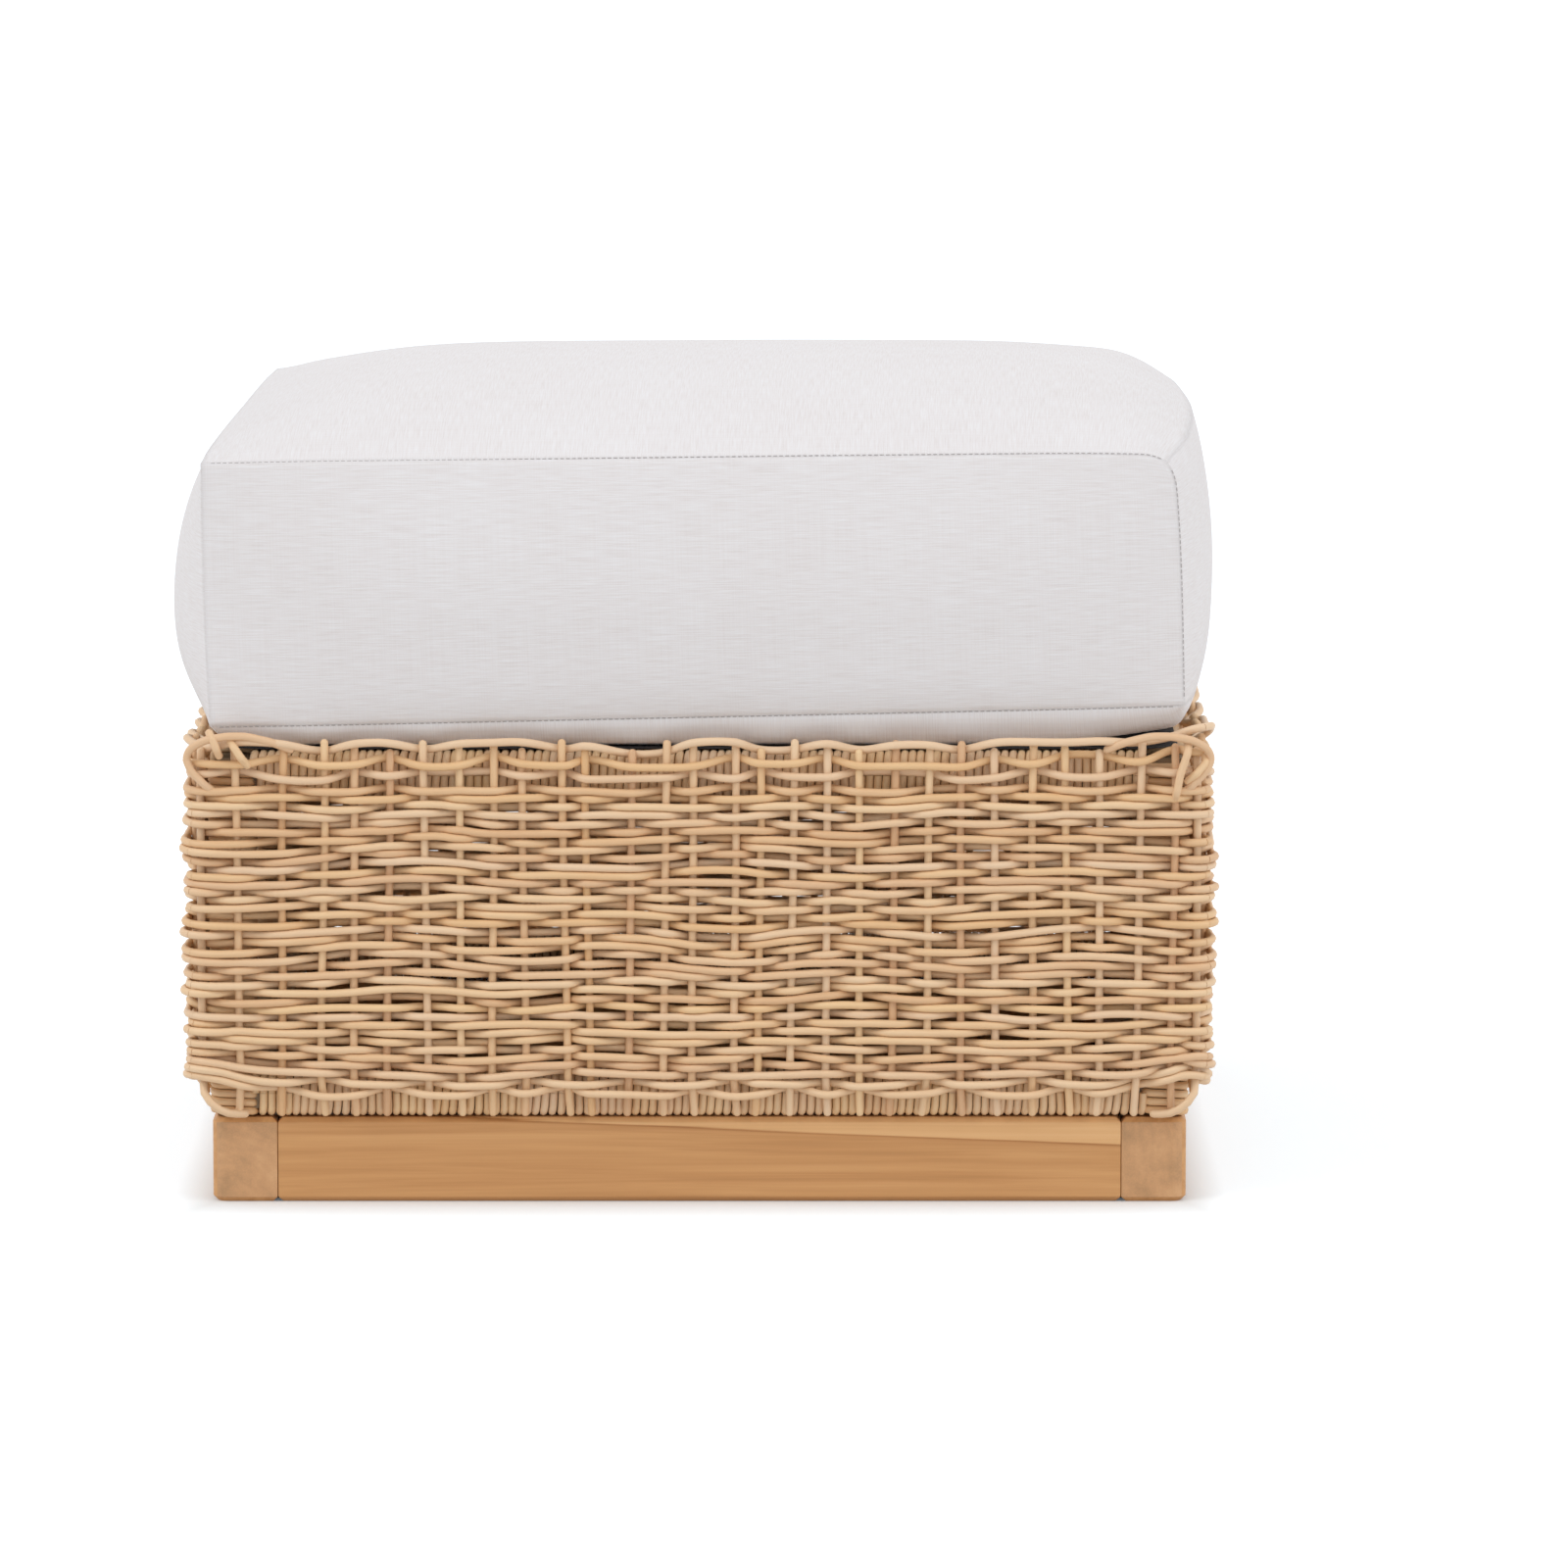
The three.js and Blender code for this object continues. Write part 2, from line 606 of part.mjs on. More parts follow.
// Pull: a flat tab whose eye goes through the bridge. It lies along the tape at rest.
function pullSolid(hingeY) {
  const inner = bridgeHeight / 2 + fitGap;
  const tab = boxSolid(
    pullLength, pullThickness, pullHeight, -pullLength / 2 + pullThickness / 2, hingeY, 0);
  const eye = boxSolid(
    pullEyeLength, pullThickness + cutOverrun, 2 * inner, -pullEyeLength / 2 - pullThickness / 2, hingeY, 0);
  const gripCentre = -pullLength + pullThickness / 2 + pullHeight / 2;
  const gripHole = toSolid(new THREE.CylinderGeometry(
    pullHeight / 2 - pullRim, pullHeight / 2 - pullRim, pullThickness + cutOverrun, smallSides,
  ).translate(gripCentre, hingeY, 0));
  return tab.subtract(eye).subtract(gripHole);
}

// Slider and pull at the closed end of the zip.
function addZipPull() {
  const closedX = zipLength / 2 - sliderLength;
  const hingeY = coilBackY + sliderThickness + (bridgeRise - bridgeBar) / 2;
  addPart('zip_slider', toGeometry(sliderSolid()), steel).position.set(closedX, 0, seamMiddle);
  addPart('zip_pull', toGeometry(pullSolid(hingeY)), steel).position.set(closedX, 0, seamMiddle);
}

// The four woven sides, each the front one turned to its place.
function addSides() {
  const front = wovenSide(bodyWidth, bodyDepth / 2, frontStakeCount);
  const flank = wovenSide(bodyDepth, bodyWidth / 2, sideStakeCount);
  const places = [['front', front, 0], ['right', flank, 1], ['back', front, 2], ['left', flank, 3]];
  for (const [name, side, quarter] of places) {
    const turn = quarter * Math.PI / 2;
    addPart(`weave_${name}`, weaveStrand(side), resin).rotation.z = turn;
    addPart(`foot_wrap_${name}`, footWrap(side), resin).rotation.z = turn;
    addPart(`rim_wrap_${name}`, rimWrap(side), resin).rotation.z = turn;
  }
}

addPlinth();
addFrame();
for (const [name, sideways, ahead] of [
  ['front_left', -1, -1], ['front_right', 1, -1], ['back_left', -1, 1], ['back_right', 1, 1],
]) {
  addCorner(name, sideways, ahead);
}
addSides();
addDeck();
addCushion();
addZipPull();

export default ottoman;
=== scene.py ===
"""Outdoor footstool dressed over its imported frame.

A woven body of round resin strand stands on a timber plinth and carries a
loose box cushion with a zip across its back.
"""

from __future__ import annotations

import logging
import math
from abc import ABC, abstractmethod
from dataclasses import dataclass, field
from enum import Enum
from typing import Callable, ClassVar

import bmesh
import bpy
import numpy as np
from mathutils import Matrix, Vector
from mathutils.bvhtree import BVHTree


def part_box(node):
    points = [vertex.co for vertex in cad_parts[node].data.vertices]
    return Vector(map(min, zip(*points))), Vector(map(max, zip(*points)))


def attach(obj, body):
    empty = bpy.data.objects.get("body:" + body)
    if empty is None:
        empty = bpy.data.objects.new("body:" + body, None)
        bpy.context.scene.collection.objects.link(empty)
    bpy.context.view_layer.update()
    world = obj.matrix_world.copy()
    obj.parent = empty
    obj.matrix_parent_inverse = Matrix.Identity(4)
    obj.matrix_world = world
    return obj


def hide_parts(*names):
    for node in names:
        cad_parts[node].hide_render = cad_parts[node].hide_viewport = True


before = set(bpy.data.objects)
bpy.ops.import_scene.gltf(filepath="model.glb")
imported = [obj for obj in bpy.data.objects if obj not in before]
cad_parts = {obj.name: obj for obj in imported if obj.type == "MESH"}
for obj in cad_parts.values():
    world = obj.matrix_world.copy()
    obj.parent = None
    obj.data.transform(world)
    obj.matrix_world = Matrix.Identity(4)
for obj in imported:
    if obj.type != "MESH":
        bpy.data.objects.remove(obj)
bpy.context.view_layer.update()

Tree = bpy.types.NodeTree
Node = bpy.types.Node
Socket = bpy.types.NodeSocket
Stops = tuple[tuple[float, str], ...]

LOG = logging.getLogger("footstool")
MM = 0.001
SEED = 41
TONE_LIMITS = (0.05, 0.95)
WELD = 0.002 * MM
AT_EDGE = 1 - 1e-6  # share of a blank's half size past which a vertex is on a panel
CRISP_ANGLE = math.radians(75)  # past which an edge of a strand is shaded sharp
EDGE_ANGLE = math.radians(30)  # past which an edge of a copied node is rounded
CORNERS = ("front_left", "front_right", "back_left", "back_right")


def mm(*lengths: float) -> tuple[float, ...]:
    """Turns lengths in millimetres into metres."""
    return tuple(length * MM for length in lengths)


def hump(distance: np.ndarray, reach: float) -> np.ndarray:
    """Returns 1 at no distance and less past it, with little left at twice the reach."""
    return np.exp(-((distance / reach) ** 2))


class Body(str, Enum):
    """The bodies of the frame that pieces ride on."""

    STOOL = "stool"
    CUSHION = "cushion"
    SLIDER = "slider"
    PULL = "pull"


class Side(Enum):
    """The four woven sides, each a quarter turn on from the last."""

    FRONT = 0
    RIGHT = 1
    BACK = 2
    LEFT = 3

    @property
    def label(self) -> str:
        """Returns the side's name in the frame's node names."""
        return self.name.lower()

    def turn(self, points: np.ndarray) -> np.ndarray:
        """Turns points laid out on the front side round to this one.

        Args:
            points: N by 3 array of places on the front side.

        Returns:
            The same places on this side.
        """
        cos, sin = ((1, 0), (0, 1), (-1, 0), (0, -1))[self.value]
        turned = points.copy()
        turned[:, 0] = cos * points[:, 0] - sin * points[:, 1]
        turned[:, 1] = sin * points[:, 0] + cos * points[:, 1]
        return turned


# Shader helpers


def linear(colour: str) -> tuple[float, float, float, float]:
    """Turns an sRGB hex colour into the linear one that shaders use.

    Args:
        colour: Six hex digits after a hash.

    Returns:
        Red, green, blue and alpha, linear.
    """
    shares = [int(colour[i : i + 2], 16) / 255 for i in (1, 3, 5)]
    red, green, blue = (c / 12.92 if c <= 0.04045 else ((c + 0.055) / 1.055) ** 2.4 for c in shares)
    return (red, green, blue, 1.0)


def add_node(
    tree: Tree,
    kind: str,
    inputs: dict[str | int, object] | None = None,
    **settings: object,
) -> Node:
    """Adds one node with its settings and links.

    Args:
        tree: The node tree that gets the node.
        kind: The node's type, without the ShaderNode in front.
        inputs: Value or output socket for each input, by name or index.
        **settings: Attributes of the node itself.

    Returns:
        The new node.
    """
    node = tree.nodes.new("ShaderNode" + kind)
    for key, value in settings.items():
        setattr(node, key, value)
    for key, value in (inputs or {}).items():
        socket = node.inputs[key]
        if isinstance(value, Socket):
            tree.links.new(value, socket)
        else:
            socket.default_value = value
    return node


def shade_ramp(tree: Tree, source: Socket, stops: Stops) -> Socket:
    """Maps a number to a run of colours.

    Args:
        tree: The node tree.
        source: The number, from 0 to 1.
        stops: Place and sRGB hex colour of each stop.

    Returns:
        The colour socket.
    """
    node = add_node(tree, "ValToRGB", {"Fac": source})
    elements = node.color_ramp.elements
    while len(elements) < len(stops):
        elements.new(0.5)
    for element, (place, colour) in zip(elements, stops):
        element.position = place
        element.color = linear(colour)
    return node.outputs["Color"]


# Finishes


class Finish(ABC):
    """A finish of the footstool, made into a material once."""

    title: ClassVar[str]

    @abstractmethod
    def paint(self, tree: Tree, shader: Node) -> None:
        """Sets up the shader's colour, gloss and relief.

        Args:
            tree: The material's node tree.
            shader: Its Principled BSDF.
        """

    def material(self) -> bpy.types.Material:
        """Returns the finish's material, and makes it the first time."""
        made = bpy.data.materials.get(self.title)
        if made is None:
            made = bpy.data.materials.new(self.title)
            made.use_nodes = True
            tree = made.node_tree
            tree.nodes.clear()
            shader = add_node(tree, "BsdfPrincipled")
            add_node(tree, "OutputMaterial", {"Surface": shader.outputs["BSDF"]})
            self.paint(tree, shader)
        return made


@dataclass(frozen=True)
class ResinStrand(Finish):
    """Extruded polyethylene wicker, through-coloured and streaked.

    The extruder draws two tones of resin along the strand, so that each length
    is a little pinker or yellower than the next and has fine streaks along it.
    """

    title: ClassVar[str] = "extruded_resin_strand"
    honey: ClassVar[Stops] = (
        (0.0, "#B4875C"), (0.3, "#D6A876"), (0.6, "#E2B988"), (1.0, "#EBC99B"),
    )
    pink: ClassVar[Stops] = (
        (0.0, "#B08765"), (0.3, "#D3A982"), (0.6, "#DEB892"), (1.0, "#E7C9A8"),
    )
    streak_length: float = 14 * MM
    streak_width: float = 0.9 * MM
    streak_weight: float = 0.42
    drift_scale: float = 14.0
    drift_weight: float = 0.5
    levels: tuple[float, float] = (0.22, 1.2)
    roughness: tuple[float, float] = (0.38, 0.58)
    refraction: float = 1.5
    relief: float = 0.12 * MM

    def paint(self, tree: Tree, shader: Node) -> None:
        """Colours by strand and streak, with faint drawn lines."""
        tone = add_node(tree, "Attribute", attribute_name="tone").outputs["Fac"]
        blush = add_node(tree, "Attribute", attribute_name="blush").outputs["Fac"]
        grain = add_node(tree, "Attribute", attribute_name="grain").outputs["Vector"]
        scale = (1 / self.streak_length, 1 / self.streak_width, 1 / self.streak_width)
        drawn = add_node(tree, "Mapping", {"Vector": grain, "Scale": scale}).outputs["Vector"]
        inputs = {"Vector": drawn, "Scale": 1.0, "Detail": 3.0, "Roughness": 0.6}
        streak = add_node(tree, "TexNoise", inputs).outputs["Fac"]
        inputs = {"Vector": grain, "Scale": self.drift_scale, "Detail": 1.0}
        drift = add_node(tree, "TexNoise", inputs).outputs["Fac"]
        inputs = {0: streak, 1: self.streak_weight, 2: tone}
        streaked = add_node(tree, "Math", inputs, operation="MULTIPLY_ADD").outputs["Value"]
        inputs = {0: drift, 1: self.drift_weight, 2: streaked}
        drifting = add_node(tree, "Math", inputs, operation="MULTIPLY_ADD").outputs["Value"]
        low, high = self.levels
        inputs = {"Value": drifting, "From Min": low, "From Max": high}
        level = add_node(tree, "MapRange", inputs).outputs["Result"]
        inputs = {
            0: blush,
            6: shade_ramp(tree, level, self.honey),
            7: shade_ramp(tree, level, self.pink),
        }
        colour = add_node(tree, "Mix", inputs, data_type="RGBA").outputs[2]
        tree.links.new(colour, shader.inputs["Base Color"])
        low, high = self.roughness
        inputs = {"Value": streak, "To Min": low, "To Max": high}
        rough = add_node(tree, "MapRange", inputs).outputs["Result"]
        tree.links.new(rough, shader.inputs["Roughness"])
        shader.inputs["IOR"].default_value = self.refraction
        inputs = {"Height": streak, "Strength": 0.6, "Distance": self.relief}
        bump = add_node(tree, "Bump", inputs).outputs["Normal"]
        tree.links.new(bump, shader.inputs["Normal"])


class GrainCut(Enum):
    """How a face of the timber was cut."""

    ALONG_X = "long grain running left to right"
    ALONG_Y = "long grain running front to back"
    ACROSS = "end grain"


@dataclass(frozen=True)
class OiledTimber(Finish):
    """Planed and oiled acacia.

    Long faces show fine lines along the grain and a pale band of sapwood, and
    sawn ends drink more oil, so that they are greyer and mottled.
    """

    cut: GrainCut
    heart: ClassVar[Stops] = (
        (0.0, "#B48250"), (0.35, "#C48F5A"), (0.65, "#CF9B65"), (1.0, "#D8A772"),
    )
    sapwood: ClassVar[Stops] = (
        (0.0, "#D09F6A"), (0.6, "#E1B17B"), (1.0, "#E7BC89"),
    )
    dark_line: ClassVar[Stops] = (
        (0.0, "#FFFFFF"), (0.35, "#F7F3EE"), (0.62, "#D9CBBC"), (0.85, "#FFFFFF"),
    )
    sawn: ClassVar[Stops] = (
        (0.0, "#B28A62"), (0.4, "#C99A6E"), (0.7, "#D3A578"), (1.0, "#DAB187"),
    )
    line_pitch: float = 1.2 * MM
    line_length: float = 90 * MM
    line_weight: float = 0.3
    figure_across: float = 0.16  # the broad figure's share of the lines' fineness
    figure_along: float = 0.35
    long_levels: tuple[float, float] = (0.3, 1.0)
    band_slope: float = 0.042  # how the sapwood widens along the rail
    band_waver: float = 4 * MM
    band_edges: tuple[float, float] = (48.2 * MM, 49.2 * MM)
    line_edges: tuple[float, float] = (45.8 * MM, 49.2 * MM)  # of the dark line under it
    ring_shift: tuple[float, float, float] = (0.31, 0.0, 0.03)
    ring_stretch: tuple[float, float, float] = (1, 0.05, 1)
    ring_weight: float = 0.03
    blotch_scale: float = 42.0
    pore_scale: float = 900.0
    pore_weight: float = 0.2
    sawn_levels: tuple[float, float] = (0.45, 0.95)
    roughness: tuple[float, float] = (0.46, 0.66)
    refraction: float = 1.48
    relief: float = 0.15 * MM

    @property
    def title(self) -> str:
        """Returns the material's name."""
        return "oiled_acacia_" + self.cut.name.lower()

    def paint(self, tree: Tree, shader: Node) -> None:
        """Colours the grain and gives it a low relief."""
        coords = add_node(tree, "TexCoord").outputs["Object"]
        if self.cut is GrainCut.ACROSS:
            colour, height = self.end_grain(tree, coords)
        else:
            colour, height = self.long_grain(tree, coords)
        tree.links.new(colour, shader.inputs["Base Color"])
        low, high = self.roughness
        inputs = {"Value": height, "To Min": low, "To Max": high}
        rough = add_node(tree, "MapRange", inputs).outputs["Result"]
        tree.links.new(rough, shader.inputs["Roughness"])
        shader.inputs["IOR"].default_value = self.refraction
        inputs = {"Height": height, "Strength": 0.5, "Distance": self.relief}
        bump = add_node(tree, "Bump", inputs).outputs["Normal"]
        tree.links.new(bump, shader.inputs["Normal"])

    def grain_scale(self, along: float, across: float) -> tuple[float, float, float]:
        """Returns the scale of a grain along the rail."""
        return (along, across, across) if self.cut is GrainCut.ALONG_X else (across, along, across)

    def long_grain(self, tree: Tree, coords: Socket) -> tuple[Socket, Socket]:
        """Lays lines along the rail, a broad figure and the sapwood band.

        Args:
            tree: The node tree.
            coords: Object coordinates.

        Returns:
            Colour and height sockets.
        """
        along, across = 1 / self.line_length, 1 / self.line_pitch
        inputs = {"Vector": coords, "Scale": self.grain_scale(along, across)}
        inputs = {
            "Vector": add_node(tree, "Mapping", inputs).outputs["Vector"],
            "Scale": 1.0,
            "Detail": 4.0,
            "Roughness": 0.65,
            "Distortion": 0.3,
        }
        fine = add_node(tree, "TexNoise", inputs).outputs["Fac"]
        broad_scale = self.grain_scale(along * self.figure_along, across * self.figure_across)
        inputs = {"Vector": coords, "Scale": broad_scale}
        inputs = {
            "Vector": add_node(tree, "Mapping", inputs).outputs["Vector"],
            "Scale": 1.0,
            "Detail": 3.0,
            "Distortion": 0.8,
        }
        broad = add_node(tree, "TexNoise", inputs).outputs["Fac"]
        inputs = {0: fine, 1: self.line_weight, 2: broad}
        lined = add_node(tree, "Math", inputs, operation="MULTIPLY_ADD").outputs["Value"]
        low, high = self.long_levels
        inputs = {"Value": lined, "From Min": low, "From Max": high}
        level = add_node(tree, "MapRange", inputs).outputs["Result"]
        # The sapwood lies along the top edge and widens to the right.
        parts = add_node(tree, "SeparateXYZ", {"Vector": coords}).outputs
        run = parts["X" if self.cut is GrainCut.ALONG_X else "Y"]
        inputs = {0: run, 1: self.band_slope, 2: parts["Z"]}
        edge = add_node(tree, "Math", inputs, operation="MULTIPLY_ADD").outputs["Value"]
        inputs = {0: broad, 1: self.band_waver, 2: edge}
        waver = add_node(tree, "Math", inputs, operation="MULTIPLY_ADD").outputs["Value"]
        band, under = (
            add_node(tree, "MapRange", {"Value": waver, "From Min": low, "From Max": high})
            for low, high in (self.band_edges, self.line_edges)
        )
        inputs = {
            0: band.outputs["Result"],
            6: shade_ramp(tree, level, self.heart),
            7: shade_ramp(tree, level, self.sapwood),
        }
        plain = add_node(tree, "Mix", inputs, data_type="RGBA").outputs[2]
        line = shade_ramp(tree, under.outputs["Result"], self.dark_line)
        inputs = {0: 1.0, 6: plain, 7: line}
        marked = add_node(tree, "Mix", inputs, data_type="RGBA", blend_type="MULTIPLY")
        colour = marked.outputs[2]
        return colour, fine

    def end_grain(self, tree: Tree, coords: Socket) -> tuple[Socket, Socket]:
        """Mottles the sawn ends over faint growth rings.

        Args:
            tree: The node tree.
            coords: Object coordinates.

        Returns:
            Colour and height sockets.
        """
        centred = add_node(
            tree,
            "Mapping",
            {"Vector": coords, "Location": self.ring_shift, "Scale": self.ring_stretch},
        )
        rings = add_node(
            tree,
            "TexWave",
            {
                "Vector": centred.outputs["Vector"],
                "Scale": 60.0,
                "Distortion": 5.0,
                "Detail": 3.0,
                "Detail Scale": 2.0,
            },
            wave_type="RINGS",
            rings_direction="Y",
        )
        inputs = {"Vector": coords, "Scale": self.blotch_scale, "Detail": 5.0, "Roughness": 0.6}
        blotch = add_node(tree, "TexNoise", inputs).outputs["Fac"]
        inputs = {"Vector": coords, "Scale": self.pore_scale}
        pores = add_node(tree, "TexNoise", inputs).outputs["Fac"]
        inputs = {0: rings.outputs["Fac"], 1: self.ring_weight, 2: blotch}
        mottle = add_node(tree, "Math", inputs, operation="MULTIPLY_ADD").outputs["Value"]
        inputs = {0: pores, 1: self.pore_weight, 2: mottle}
        speckled = add_node(tree, "Math", inputs, operation="MULTIPLY_ADD").outputs["Value"]
        low, high = self.sawn_levels
        inputs = {"Value": speckled, "From Min": low, "From Max": high}
        level = add_node(tree, "MapRange", inputs).outputs["Result"]
        return shade_ramp(tree, level, self.sawn), speckled


@dataclass(frozen=True)
class CanvasCloth(Finish):
    """Solution-dyed acrylic canvas in a heathered off-white plain weave.

    Slubbed yarns of pale grey and greige run one way and even yarns the other,
    which gives soft dashes along the slub and fine ribs across it.
    """

    title: ClassVar[str] = "woven_acrylic_canvas"
    heather: ClassVar[Stops] = (
        (0.0, "#D9D4D4"), (0.35, "#E0DCDD"), (0.7, "#E4E2E4"), (1.0, "#E8E7EA"),
    )
    yarn: float = 0.8 * MM  # real yarns are 0.5 mm, drawn coarser so that they show
    slub: float = 22 * MM
    rib_share: float = 0.35  # of the slub's fineness
    rib_weight: float = 0.24
    cloud_scale: float = 11.0
    cloud_weight: float = 0.14
    levels: tuple[float, float] = (0.38, 1.0)
    roughness: float = 0.92
    sheen: float = 0.12
    sheen_roughness: float = 0.5
    relief: float = 0.18 * MM

    def paint(self, tree: Tree, shader: Node) -> None:
        """Colours and raises the yarns along the panel's own map."""
        place = add_node(tree, "UVMap", uv_map="cloth").outputs["UV"]
        inputs = {"Vector": place, "Scale": (1 / self.slub, 1 / self.yarn, 1.0)}
        along = add_node(tree, "Mapping", inputs).outputs["Vector"]
        inputs = {"Vector": along, "Scale": 1.0, "Detail": 3.0, "Roughness": 0.62}
        slubs = add_node(tree, "TexNoise", inputs, noise_dimensions="2D").outputs["Fac"]
        inputs = {"Vector": place, "Scale": (1 / self.yarn, self.rib_share / self.slub, 1.0)}
        across = add_node(tree, "Mapping", inputs).outputs["Vector"]
        inputs = {"Vector": across, "Scale": 1.0}
        ribs = add_node(tree, "TexNoise", inputs, noise_dimensions="2D").outputs["Fac"]
        inputs = {"Vector": place, "Scale": self.cloud_scale}
        cloud = add_node(tree, "TexNoise", inputs, noise_dimensions="2D").outputs["Fac"]
        inputs = {0: ribs, 1: self.rib_weight, 2: slubs}
        woven = add_node(tree, "Math", inputs, operation="MULTIPLY_ADD").outputs["Value"]
        inputs = {0: cloud, 1: self.cloud_weight, 2: woven}
        clouded = add_node(tree, "Math", inputs, operation="MULTIPLY_ADD").outputs["Value"]
        low, high = self.levels
        inputs = {"Value": clouded, "From Min": low, "From Max": high}
        level = add_node(tree, "MapRange", inputs).outputs["Result"]
        tree.links.new(shade_ramp(tree, level, self.heather), shader.inputs["Base Color"])
        shader.inputs["Roughness"].default_value = self.roughness
        shader.inputs["Sheen Weight"].default_value = self.sheen
        shader.inputs["Sheen Roughness"].default_value = self.sheen_roughness
        inputs = {"Height": woven, "Strength": 0.5, "Distance": self.relief}
        bump = add_node(tree, "Bump", inputs).outputs["Normal"]
        tree.links.new(bump, shader.inputs["Normal"])


@dataclass(frozen=True)
class SlingMesh(Finish):
    """Vinyl-coated polyester mesh in charcoal, with ribs front to back."""

    title: ClassVar[str] = "coated_sling_mesh"
    charcoal: ClassVar[Stops] = (
        (0.0, "#101114"), (0.5, "#1D1E22"), (1.0, "#2F3136"),
    )
    rib_pitch: float = 1.1 * MM
    rib_waves: int = 20
    thread_waves: int = 34
    waver: float = 0.4
    roughness: float = 0.6
    relief: float = 0.3 * MM

    def waves(self, tree: Tree, count: int, axis: str) -> Socket:
        """Draws ribs that follow each other along an axis.

        Args:
            tree: The node tree.
            count: How coarse they are.
            axis: The axis.

        Returns:
            Their height.
        """
        coords = add_node(tree, "TexCoord").outputs["Object"]
        scale = 2 * math.pi / self.rib_pitch / count
        inputs = {"Vector": coords, "Scale": scale, "Distortion": self.waver}
        return add_node(tree, "TexWave", inputs, bands_direction=axis).outputs["Fac"]

    def paint(self, tree: Tree, shader: Node) -> None:
        """Ribs one way and finer threads the other."""
        ribs = self.waves(tree, self.rib_waves, "X")
        threads = self.waves(tree, self.thread_waves, "Y")
        crossed = add_node(tree, "Math", {0: ribs, 1: threads}, operation="MULTIPLY")
        cell = crossed.outputs["Value"]
        tree.links.new(shade_ramp(tree, cell, self.charcoal), shader.inputs["Base Color"])
        shader.inputs["Roughness"].default_value = self.roughness
        inputs = {"Height": cell, "Strength": 0.7, "Distance": self.relief}
        bump = add_node(tree, "Bump", inputs).outputs["Normal"]
        tree.links.new(bump, shader.inputs["Normal"])


@dataclass(frozen=True)
class PlainFinish(Finish):
    """A finish of one substance with a fine cast, sprayed or spun relief."""

    title: str
    dark: str
    light: str
    grit: float
    relief: float
    roughness: tuple[float, float]
    metallic: float = 0.0
    sheen: float = 0.0
    wear_scale: float = 35.0
    grit_weight: float = 0.5
    levels: tuple[float, float] = (0.45, 1.05)

    def paint(self, tree: Tree, shader: Node) -> None:
        """Varies the colour and gloss with the grit of the surface."""
        coords = add_node(tree, "TexCoord").outputs["Object"]
        inputs = {"Vector": coords, "Scale": 1 / self.grit, "Detail": 3.0}
        fine = add_node(tree, "TexNoise", inputs).outputs["Fac"]
        inputs = {"Vector": coords, "Scale": self.wear_scale, "Detail": 3.0}
        wear = add_node(tree, "TexNoise", inputs).outputs["Fac"]
        inputs = {0: fine, 1: self.grit_weight, 2: wear}
        worn = add_node(tree, "Math", inputs, operation="MULTIPLY_ADD").outputs["Value"]
        low, high = self.levels
        inputs = {"Value": worn, "From Min": low, "From Max": high}
        level = add_node(tree, "MapRange", inputs).outputs["Result"]
        colour = shade_ramp(tree, level, ((0.0, self.dark), (1.0, self.light)))
        tree.links.new(colour, shader.inputs["Base Color"])
        low, high = self.roughness
        inputs = {"Value": level, "To Min": low, "To Max": high}
        rough = add_node(tree, "MapRange", inputs).outputs["Result"]
        tree.links.new(rough, shader.inputs["Roughness"])
        shader.inputs["Metallic"].default_value = self.metallic
        shader.inputs["Sheen Weight"].default_value = self.sheen
        inputs = {"Height": fine, "Strength": 0.5, "Distance": self.relief}
        bump = add_node(tree, "Bump", inputs).outputs["Normal"]
        tree.links.new(bump, shader.inputs["Normal"])


# Sprayed polyester powder on the tubes: the orange peel of the cured coat.
POWDER_COAT = PlainFinish(
    "powder_coated_aluminium", "#7E694F", "#8E785C", 1.2 * MM, 0.06 * MM, (0.42, 0.58)
)
# Brushed stainless steel of the bolts, bright with fine scratches.
BRUSHED_STEEL = PlainFinish(
    "brushed_stainless_steel", "#9C9C98", "#BDBDB8", 0.5 * MM, 0.02 * MM, (0.28, 0.46), metallic=1.0
)
# Injection-moulded nylon inserts, black and faintly matt.
MOULDED_NYLON = PlainFinish(
    "moulded_nylon", "#131314", "#202022", 0.6 * MM, 0.03 * MM, (0.4, 0.55)
)
# Die-cast slider and pull under a nickel plate, polished by the fingers.
NICKEL_PLATE = PlainFinish(
    "nickel_plated_casting", "#A9A49B", "#C9C4BA", 0.4 * MM, 0.015 * MM, (0.22, 0.38), metallic=1.0
)
# Woven polyester tape of the zip, in the cloth's own off-white.
ZIP_TAPE = PlainFinish(
    "woven_zip_tape", "#C9C4C0", "#DBD7D4", 0.6 * MM, 0.08 * MM, (0.8, 0.95), sheen=0.1
)
# Extruded nylon filament of the zip's coil.
COIL_NYLON = PlainFinish(
    "extruded_nylon_coil", "#CFCAC6", "#E0DCD9", 0.5 * MM, 0.02 * MM, (0.35, 0.5)
)
# Bonded polyester sewing thread, a shade darker than the cloth.
SEWING_THREAD = PlainFinish(
    "bonded_sewing_thread", "#A19C9B", "#B4B0AF", 0.3 * MM, 0.03 * MM, (0.6, 0.8)
)


# Meshes and pieces


def mesh_from(name: str, bm: bmesh.types.BMesh, smooth: bool = True) -> bpy.types.Mesh:
    """Writes a bmesh to a new mesh and frees it.

    Args:
        name: The mesh's name.
        bm: The bmesh.
        smooth: Whether its faces are shaded smooth.

    Returns:
        The new mesh.
    """
    mesh = bpy.data.meshes.new(name)
    bm.to_mesh(mesh)
    bm.free()
    mesh.polygons.foreach_set("use_smooth", [smooth] * len(mesh.polygons))
    return mesh


